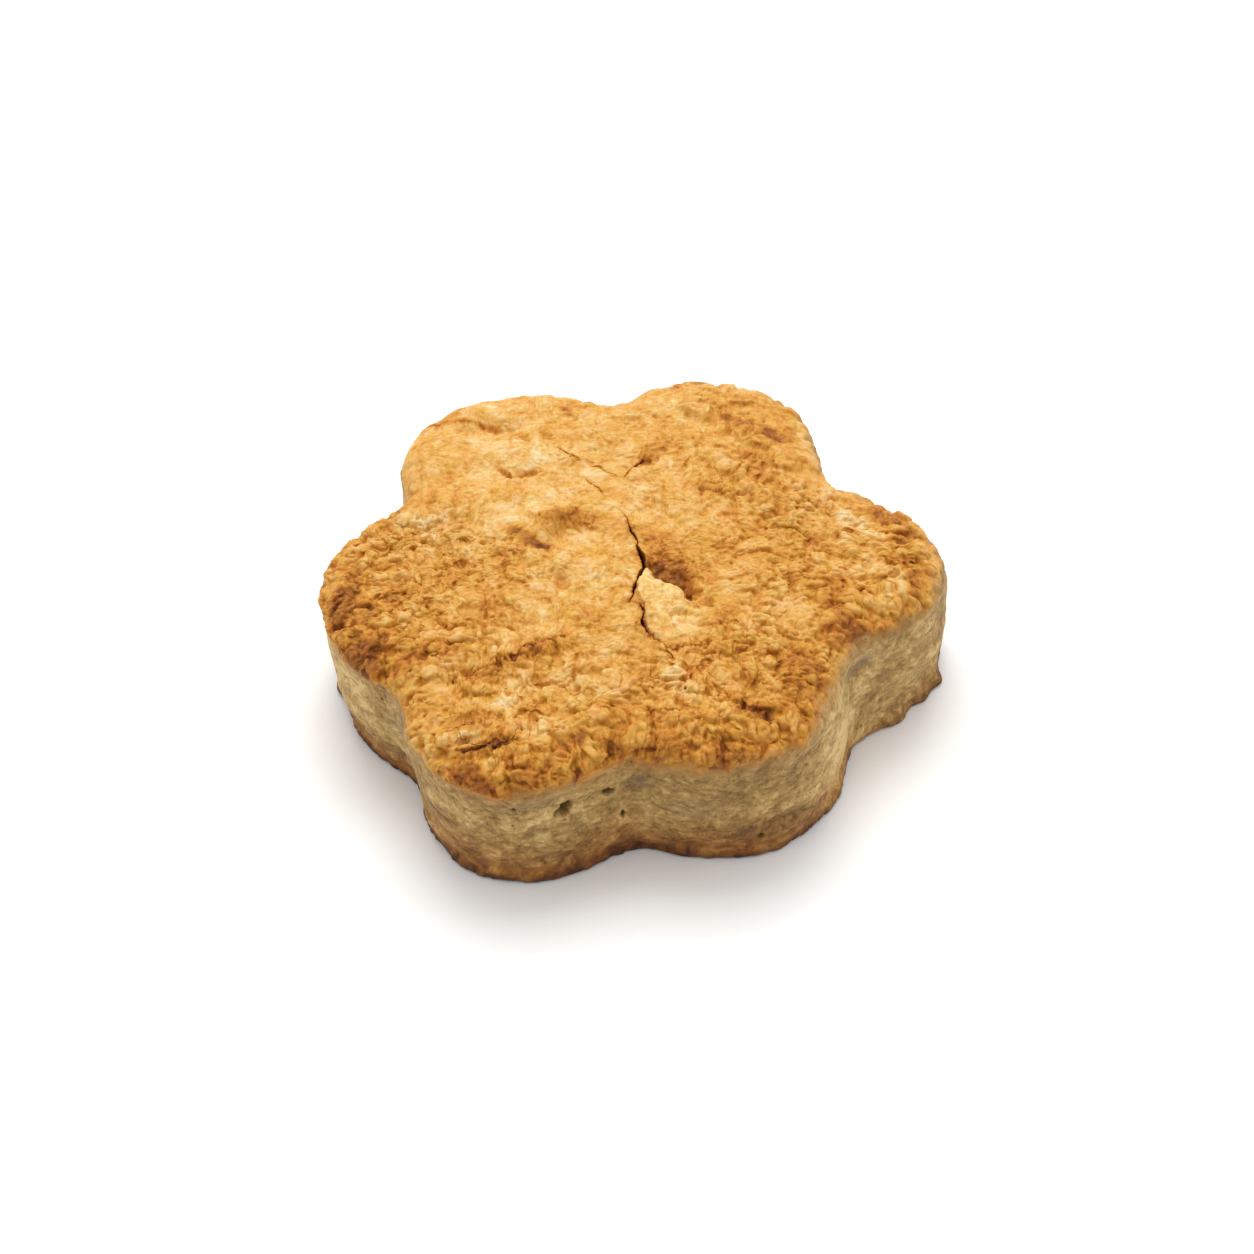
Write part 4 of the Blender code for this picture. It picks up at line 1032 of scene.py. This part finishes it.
def body_grid():
    """The cookie's skin as a square grid laid on the top, rows down the wall and halving rings on the
    base. Gives each point's share of the radius, bearing and row, the quads with the number of the
    piece that each belongs to, and the base triangles."""
    line = np.linspace(-1, 1, TOP_CELLS + 1)
    a, b = (side.ravel() for side in np.meshgrid(line, line, indexing="ij"))
    index = np.arange(len(a)).reshape(TOP_CELLS + 1, TOP_CELLS + 1)
    corners = (index[:-1, :-1], index[1:, :-1], index[1:, 1:], index[:-1, 1:])
    top = np.column_stack([corner.ravel() for corner in corners])
    border = np.concatenate([index[:-1, 0], index[-1, :-1], index[:0:-1, -1], index[0, :0:-1]])
    share, angle = square_to_disc(a, b)
    rows = len(profile()) - 1
    count = len(border)
    side = np.column_stack([border, np.roll(border, -1)])
    quads = [top]
    owner = [quarter(a[top].mean(axis=1), b[top].mean(axis=1))]
    ring = border
    for row in range(rows):
        below = len(a) + row * count + np.arange(count)
        quads.append(np.column_stack([ring, below, np.roll(below, -1), np.roll(ring, -1)]))
        lies = quarter(a[side].mean(axis=1), b[side].mean(axis=1))
        owner.append(lies if row < CRUST_ROWS else half(b[side].mean(axis=1)))
        ring = below
    share = np.concatenate([share, np.ones(rows * count)])
    angle = np.concatenate([angle, np.tile(angle[border], rows)])
    row = np.concatenate([np.zeros(len(a), int), np.repeat(np.arange(1, rows + 1), count)])
    base = []
    for k in range(BASE_RINGS):
        inner = len(share) + np.arange(count // 2)
        even, odd = ring[0::2], ring[1::2]
        base += [np.column_stack([inner, odd, even]), np.column_stack([inner, np.roll(inner, -1), odd]),
                 np.column_stack([np.roll(inner, -1), np.roll(even, -1), odd])]
        share = np.concatenate([share, np.full(count // 2, 1 - (2 ** (k + 1) - 1) / 2 ** BASE_RINGS)])
        angle = np.concatenate([angle, angle[even]])
        row = np.concatenate([row, np.full(count // 2, rows)])
        ring, count = inner, count // 2
    base.append(np.column_stack([np.full(count, len(share)), np.roll(ring, -1), ring]))
    share, angle, row = np.append(share, 0.0), np.append(angle, 0.0), np.append(row, rows)
    return share, angle, row, np.concatenate(quads), np.concatenate(owner), np.concatenate(base)


def place_body(share, angle, row):
    """The skin before relief: the outline moved out by each row's offset and scaled by the share of
    the radius, grown near the wall, crowned as 1 - r^2, leaned and tilted in step with the height."""
    height, offset = profile()[row].T
    spot, away = outline(angle)
    growth = wall_growth(angle, height, spot) * share ** 4
    xy = (spot + away * offset[:, None]) * share[:, None] + away * growth[:, None]
    lift = height / HEIGHT
    crown = CROWN * (1 - (np.hypot(*xy.T) / (CORE_RADIUS + RIM_WIDTH)) ** 2) * lift ** 4
    xy = xy + np.outer(lift, LEAN)
    return np.column_stack([xy, height + crown + lift * (xy @ np.array(TILT))])


def draw_to_cracks(points, on_top):
    """Points of the top move toward the nearest crack by a share that falls as exp(-(gap / reach)^2),
    so that the mesh is finest there."""
    reach, strength = CRACK_DRAW
    best = np.full(len(points), np.inf)
    target = points[:, :2].copy()
    for route, _, _ in CRACKS.values():
        gap, spot, _ = near_route(points, route)
        closer = gap < best
        best = np.where(closer, gap, best)
        target = np.where(closer[:, None], spot, target)
    pull = strength * np.exp(-((best / reach) ** 2)) * on_top
    moved = points.copy()
    moved[:, :2] += (target - points[:, :2]) * pull[:, None]
    return moved


def cookie_body(material):
    """The whole cookie as one closed skin, in six shares. Each layer of relief moves the points along
    the normals of the skin under it."""
    share, angle, row, quads, owner, base = body_grid()
    rest = draw_to_cracks(place_body(share, angle, row), row == 0)
    on_base = row == row.max()
    skin = np.concatenate([split_quads(rest, quads), base])
    points = rest + vertex_normals(rest, skin) * broad_relief(rest)[:, None]
    on_top = crust_share(rest)
    edge = crust_edge(rest)
    crust = smooth(edge, *EDGE_RELIEF) * (1 - on_base)
    lifted, hollow = flake_relief(rest)
    on_fold = FOLDS[3] * fold_share(rest) + spot_sums(rest)[1] - crease_sums(rest)[1]
    points[:, 2] += (lifted + on_fold) * on_top * smooth(share, 1.0, 0.9)
    crumb, crumb_stand, crumb_pits, crumb_tone = only_where(crust > 0, crumb_relief, rest)
    strand, strand_stand, strand_pits, strand_tone = only_where(crust < 1, wall_relief, rest)
    foot = np.maximum(foot_edge(rest), on_base)
    cut, in_crack, by_crack = crack_relief(rest)
    hole, in_hole = hole_relief(rest)
    flake = flake_share(rest) * on_top
    out = crumb * calm_at_edge(rest, edge) * crust + strand * (1 - crust) * (1 - CALM_FOOT * foot)
    out = (out + foot_relief(rest) * foot) * (1 - CALM_FLAKE * flake) * (1 - CALM_HOLE * in_hole)
    out = out * (1 - in_crack)
    out = np.where(on_base, 0, out + hole)
    points = points + vertex_normals(points, skin) * out[:, None]
    points[:, 2] += cut * on_top
    points[:, 2] = np.where(on_base, 0, np.maximum(points[:, 2], LOWEST))
    faces = np.concatenate([split_quads(points, quads), base])
    normals = vertex_normals(points, faces)
    values = {
        # toast: browning, with painted shade in the creases and in the hollow under the flake's edge
        "toast": toast(rest) + (HOLLOW_TOAST_AND_SHADE * hollow + CRACK_TOAST * by_crack) * on_top,
        # painted shade: the steep sides of the relief turn browner and more orange
        "slope": 1 - (normals * vertex_normals(rest, skin)).sum(axis=1),
        # crests paler and gaps browner: partly the crust's own colour, partly painted highlight and shade
        "stand": crumb_stand * crust + strand_stand * (1 - crust),
        # the wall's own tones carry painted light on its flanks and painted shade under the crust's front
        # edge
        "own": crumb_tone * crust + (strand_tone + wall_spots(rest, WALL_TONES_LIGHT_AND_SHADE, 0.2)) * (1 - crust),
        "crust": smooth(edge, *EDGE_COLOUR) * (1 - on_base),
        "fade": smooth(edge, *EDGE_FADE),
        # the browner lower wall and foot, raised at the front as painted shade
        "low": low_share(rest),
        "foot": foot,
        # painted shade in the cracks, pits and the wall's layer creases
        "deep": np.maximum(in_crack * on_top, PIT_SHADE * (crumb_pits * crust + strand_pits * (1 - crust))),
        # painted shade in the wall's holes
        "hole": in_hole,
        # stains on the wall, with painted shade under the crust's edge
        "stain_and_shade": wall_spots(rest, WALL_STAINS_AND_SHADE, 0.8) * (1 - crust),
        "flake": flake,
    }
    owner = np.concatenate([owner, owner, np.full(len(base), SHARES.index("wall_front"))])
    for number, name in enumerate(SHARES):
        put_share(name, points + ORIGIN_SHIFT, normals, faces[owner == number], material, values)


# --- materials ----------------------------------------------------------------------------------
def linear(hex_colour):
    """An sRGB hex colour as linear red, green, blue and alpha."""
    parts = [int(hex_colour[k:k + 2], 16) / 255 for k in (1, 3, 5)]
    return [part / 12.92 if part <= 0.04045 else ((part + 0.055) / 1.055) ** 2.4 for part in parts] + [1.0]


def add(nodes, kind, inputs, output=0, stops=(), **settings):
    """Adds a node with its settings, and its colour stops if it has any. Its inputs, by name or by
    number among those in use, are set to values or linked. Gives one of the outputs in use."""
    node = nodes.new(kind)
    for key, value in settings.items():
        setattr(node, key, value)
    for k, (place, colour) in enumerate(stops):
        ramp = node.color_ramp.elements
        element = ramp[k] if k < len(ramp) else ramp.new(place)
        element.position = place
        element.color = linear(colour)
    in_use = [socket for socket in node.inputs if socket.enabled]
    for key, value in inputs.items():
        socket = in_use[key] if isinstance(key, int) else node.inputs[key]
        if isinstance(value, bpy.types.NodeSocket):
            nodes.id_data.links.new(value, socket)
        else:
            socket.default_value = value
    return [socket for socket in node.outputs if socket.enabled][output]


def new_material(name):
    """An empty material with a Principled shader."""
    material = bpy.data.materials.new(name)
    material.use_nodes = True
    nodes = material.node_tree.nodes
    nodes.clear()
    shader = nodes.new("ShaderNodeBsdfPrincipled")
    output = nodes.new("ShaderNodeOutputMaterial")
    material.node_tree.links.new(shader.outputs[0], output.inputs[0])
    return material, nodes, shader


CRUST_STOPS = ((0.0, "#e1c79b"), (0.14, "#dab77b"), (0.3, "#d4a458"), (0.46, "#cb923a"), (0.62, "#bb7a21"),
               (0.8, "#9a5a13"), (1.0, "#733d0b"))
WALL_STOPS = ((0.26, "#77592a"), (0.42, "#98773f"), (0.58, "#b69356"), (0.74, "#d5b679"))
LOW_WALL_STOPS = ((0.26, "#663c15"), (0.42, "#895c28"), (0.58, "#a7793d"), (0.74, "#c89c5a"))
FOOT_STOPS = ((0.3, "#3c1d0a"), (0.42, "#6c3d13"), (0.55, "#965c1c"), (0.7, "#b78443"))
FLAKE_STOPS = ((0.25, "#c68f3a"), (0.5, "#dbb064"), (0.75, "#e6ca90"))
FADE_COLOUR = "#a5743c"
# the colour of the wall's stains and of the painted shade under the crust's edge
STAIN_AND_SHADE_COLOUR = "#6e5c4b"
# painted shade in the wall's holes
HOLE_SHADE_COLOUR = "#42380e"
# painted shade in the cracks, pits and creases
CRACK_SHADE_COLOUR = "#5a260c"
SPECK_COLOUR = "#5a3c14"
CONTACT_SHADOW_COLOUR = "#2e190a"
CONTACT_SHADOW = (1.6 * MM, 0.8)   # painted contact shadow: height up to which the foot darkens, and how much
FLOOR_COLOUR = "#f6f6f5"
BUMP = (0.45, 0.12 * MM)    # strength, distance
# patterns of the material, in the order in which it takes them: wavelength, detail, roughness, distortion
PATTERNS = {
    "curls": (0.9 * MM, 3.0, 0.6, 0.9),
    "grit": (0.4 * MM, 2.0, 0.6, 0.6),
    "threads": (0.8 * MM, 1.0, 0.5, 1.2),
    "butter": (1.8 * MM, 2.0, 0.5, 0.0),
    "fibres": (0.8 * MM, 3.0, 0.7, 0.6),
    "patches": (3.2 * MM, 2.0, 0.5, 0.0),
    "baked": (2.2 * MM, 4.0, 0.65, 0.8),
}
# what the mesh carries at each point, in the order in which the material takes it
CARRIED = ("toast", "stand", "own", "slope", "crust", "fade", "low", "foot", "deep", "hole", "stain_and_shade",
           "flake")


def baked_crust():
    """Butter shortcrust, baked golden: matte and crumbly, cream where a crest stands clear and orange
    brown in the gaps, partly its own colour and partly painted highlight and painted shade, over a
    dry pale wall and a browned foot. Its pattern is curls of 0.9 mm and grit of 0.4 mm on the crust,
    with threads 0.8 mm apart, and soft fibres 0.8 mm apart on the wall. The values that the mesh
    carries say where it is toasted, stands clear, cracks, fades and is stained, and where shade is
    painted: in cracks, pits, creases, holes and the hollow, on steep sides, under the crust's edge
    and towards the floor, with painted light on the wall's flanks."""
    material, nodes, shader = new_material("baked_golden_shortcrust")
    link = nodes.id_data.links.new
    where = nodes.new("ShaderNodeTexCoord").outputs["Object"]
    toasted, stand, own, slope, on_crust, fade, low, on_foot, deep, in_hole, stain_and_shade, on_flake = (
        add(nodes, "ShaderNodeAttribute", {}, 2, attribute_name=name) for name in CARRIED)
    drawn = add(nodes, "ShaderNodeMapping", {"Vector": where, "Rotation": (0, 0, 0.2),
                                             "Scale": (0.6, 1, 1)})
    along = add(nodes, "ShaderNodeMapping", {"Vector": where, "Scale": (0.7, 0.7, 1.0)})
    places = {"threads": drawn, "fibres": along, "patches": along}
    curls, grit, threads, butter, fibres, patches, baked = (
        add(nodes, "ShaderNodeTexNoise", {"Vector": places.get(name, where), "Scale": 1 / wavelength,
                                          "Detail": detail, "Roughness": rough, "Distortion": bent})
        for name, (wavelength, detail, rough, bent) in PATTERNS.items())
    off_thread = add(nodes, "ShaderNodeMath", {0: threads, 1: 0.5}, operation="SUBTRACT")
    off_thread = add(nodes, "ShaderNodeMath", {0: off_thread}, operation="ABSOLUTE")
    thread = add(nodes, "ShaderNodeMapRange", {"Value": off_thread, "From Min": 0.03, "From Max": 0.0})

    # the crust: toast, less what stands clear (paler crests and browner gaps, partly painted highlight and
    # shade) and the threads, with curls, grit, each plate's tone, and steep sides browner as painted shade
    tone = toasted
    for value, share in ((curls, 0.30), (grit, 0.22), (stand, -0.105), (own, 0.04), (thread, -0.06),
                         (slope, 0.18)):
        tone = add(nodes, "ShaderNodeMath", {0: value, 1: share, 2: tone}, operation="MULTIPLY_ADD")
    tone = add(nodes, "ShaderNodeMath", {0: tone, 1: 0.225}, operation="SUBTRACT")
    crust = add(nodes, "ShaderNodeValToRGB", {0: tone}, stops=CRUST_STOPS)
    # the flake's crumb is paler where it stands clear, partly as painted highlight
    paler = add(nodes, "ShaderNodeMath", {0: stand, 1: 0.12, 2: curls}, operation="MULTIPLY_ADD")
    crumb = add(nodes, "ShaderNodeValToRGB", {0: paler}, stops=FLAKE_STOPS)
    share = add(nodes, "ShaderNodeMath", {0: on_flake, 1: 0.75}, operation="MULTIPLY")
    crust = add(nodes, "ShaderNodeMix", {0: share, 1: crust, 2: crumb}, data_type="RGBA")
    hue = add(nodes, "ShaderNodeMapRange", {"Value": butter, "From Min": 0.3, "From Max": 0.7,
                                            "To Min": 0.494, "To Max": 0.506})
    crust = add(nodes, "ShaderNodeHueSaturation", {"Hue": hue, "Color": crust})

    # the wall: soft patches, fibres and what stands clear (partly painted highlight and shade), its own
    # tones (painted light on the flanks, painted shade under the crust's front edge), browner toward the
    # foot and under the crust
    strand = -0.085
    for value, share in ((fibres, 0.55), (patches, 0.38), (grit, 0.25), (stand, 0.13), (own, 0.12)):
        strand = add(nodes, "ShaderNodeMath", {0: value, 1: share, 2: strand}, operation="MULTIPLY_ADD")
    upper = add(nodes, "ShaderNodeValToRGB", {0: strand}, stops=WALL_STOPS)
    lower = add(nodes, "ShaderNodeValToRGB", {0: strand}, stops=LOW_WALL_STOPS)
    wall = add(nodes, "ShaderNodeMix", {0: low, 1: upper, 2: lower}, data_type="RGBA")
    # the crust's fade down the wall, then its stains and the painted shade under the crust's edge
    for value, share, tint in ((fade, 0.6, FADE_COLOUR), (stain_and_shade, 0.75, STAIN_AND_SHADE_COLOUR)):
        share = add(nodes, "ShaderNodeMath", {0: value, 1: share}, operation="MULTIPLY")
        wall = add(nodes, "ShaderNodeMix", {0: share, 1: wall, 2: linear(tint)}, data_type="RGBA")
    seed = add(nodes, "ShaderNodeTexVoronoi", {"Vector": where, "Scale": 1 / (0.75 * MM)})
    speck = add(nodes, "ShaderNodeMapRange", {"Value": seed, "From Min": 0.15, "From Max": 0.08,
                                              "To Max": 0.7})
    wall = add(nodes, "ShaderNodeMix", {0: speck, 1: wall, 2: linear(SPECK_COLOUR)}, data_type="RGBA")

    colour = add(nodes, "ShaderNodeMix", {0: on_crust, 1: wall, 2: crust}, data_type="RGBA")
    foot = add(nodes, "ShaderNodeValToRGB", {0: baked}, stops=FOOT_STOPS)
    # painted contact shadow: the foot darkens towards the floor
    height = add(nodes, "ShaderNodeSeparateXYZ", {"Vector": where}, 2)
    contact_shadow = add(nodes, "ShaderNodeMapRange", {"Value": height, "From Min": CONTACT_SHADOW[0], "From Max": 0.0,
                                                "To Max": CONTACT_SHADOW[1]})
    foot = add(nodes, "ShaderNodeMix", {0: contact_shadow, 1: foot, 2: linear(CONTACT_SHADOW_COLOUR)}, data_type="RGBA")
    colour = add(nodes, "ShaderNodeMix", {0: on_foot, 1: colour, 2: foot}, data_type="RGBA")
    # painted shade in the holes, then in the cracks, pits and creases
    for value, tint in ((in_hole, HOLE_SHADE_COLOUR), (deep, CRACK_SHADE_COLOUR)):
        colour = add(nodes, "ShaderNodeMix", {0: value, 1: colour, 2: linear(tint)}, data_type="RGBA")
    link(colour, shader.inputs["Base Color"])
    relief = add(nodes, "ShaderNodeMix", {0: on_crust, 1: fibres, 2: grit}, data_type="FLOAT")
    link(add(nodes, "ShaderNodeBump", {"Strength": BUMP[0], "Distance": BUMP[1], "Height": relief}),
         shader.inputs["Normal"])
    link(add(nodes, "ShaderNodeMapRange", {"Value": grit, "From Min": 0.3, "From Max": 0.7, "To Min": 0.45,
                                           "To Max": 0.85}), shader.inputs["Roughness"])
    shader.inputs["Specular IOR Level"].default_value = 0.3
    return material


def studio_floor():
    """A smooth pale card: matte, with no pattern of its own beyond a very faint tooth."""
    material, nodes, shader = new_material("matte_pale_card")
    where = nodes.new("ShaderNodeTexCoord").outputs["Object"]
    tooth = add(nodes, "ShaderNodeTexNoise", {"Vector": where, "Scale": 1 / (2 * MM), "Detail": 2.0})
    bump = add(nodes, "ShaderNodeBump", {"Strength": 0.05, "Distance": 0.02 * MM, "Height": tooth})
    nodes.id_data.links.new(bump, shader.inputs["Normal"])
    shader.inputs["Base Color"].default_value = linear(FLOOR_COLOUR)
    shader.inputs["Roughness"].default_value = 0.9
    shader.inputs["Specular IOR Level"].default_value = 0.1
    return material


# --- the studio ---------------------------------------------------------------------------------
FLOOR_HALF = 6.0
FLOOR_GAP = 0.02 * MM
CAMERA_ELEVATION = 45.0
CAMERA_REACH = 297.9 * MM
CAMERA_AIM = Vector((-1.04 * MM, -2.19 * MM, 8.0 * MM))
CAMERA_LENS = 79.5          # millimetres, on a sensor 36 mm wide
SKY_STRENGTH = (0.4, 1.0)   # at the front, and from the sides to the back
SOFTBOX = ((-0.04, 0.35, 0.75), 0.5, 3.95)       # place, side, power


def studio():
    """A pale floor, a pale sky that is dimmer at the front, and one large soft light above."""
    mesh = bpy.data.meshes.new("floor")
    signs = ((-1, -1), (1, -1), (1, 1), (-1, 1))
    mesh.from_pydata([(x * FLOOR_HALF, y * FLOOR_HALF, -FLOOR_GAP) for x, y in signs], [], [(0, 1, 2, 3)])
    mesh.materials.append(studio_floor())
    floor = bpy.data.objects.new("floor", mesh)
    bpy.context.scene.collection.objects.link(floor)

    world = bpy.data.worlds.new("studio_sky")
    world.use_nodes = True
    nodes = world.node_tree.nodes
    way = nodes.new("ShaderNodeTexCoord").outputs["Generated"]
    ahead = add(nodes, "ShaderNodeSeparateXYZ", {"Vector": way}, 1)
    front, back = SKY_STRENGTH
    strength = add(nodes, "ShaderNodeMapRange", {"Value": ahead, "From Min": -1.0, "From Max": -0.3,
                                                 "To Min": front, "To Max": back})
    world.node_tree.links.new(strength, nodes["Background"].inputs["Strength"])
    nodes["Background"].inputs["Color"].default_value = linear("#ffffff")
    bpy.context.scene.world = world

    place, side, power = SOFTBOX
    light = bpy.data.lights.new("softbox", "AREA")
    light.shape = "SQUARE"
    light.size = side
    light.energy = power
    softbox = bpy.data.objects.new("softbox", light)
    softbox.matrix_world = look_from(Vector(place), Vector((0, 0, 0)))
    bpy.context.scene.collection.objects.link(softbox)


def look_from(place, aim):
    """A matrix at a place whose -Z points at the aim."""
    turn = (aim - place).to_track_quat("-Z", "Y")
    return Matrix.Translation(place) @ turn.to_matrix().to_4x4()


def camera():
    """The camera looks along +Y and down, on the middle of the frame."""
    lens = bpy.data.cameras.new("camera")
    lens.lens = CAMERA_LENS
    lens.sensor_width = 36.0
    lens.clip_start = 0.01
    eye = bpy.data.objects.new("camera", lens)
    turn = radians(CAMERA_ELEVATION)
    back = Vector((0, -cos(turn), sin(turn)))
    eye.matrix_world = look_from(CAMERA_AIM + CAMERA_REACH * back, CAMERA_AIM)
    bpy.context.scene.collection.objects.link(eye)
    bpy.context.scene.camera = eye


def main():
    """The cookie in its material, the floor and light round it, and the camera."""
    cookie_body(baked_crust())
    studio()
    camera()
    bpy.context.scene.view_settings.view_transform = "Standard"


main()
bpy.context.view_layer.update()
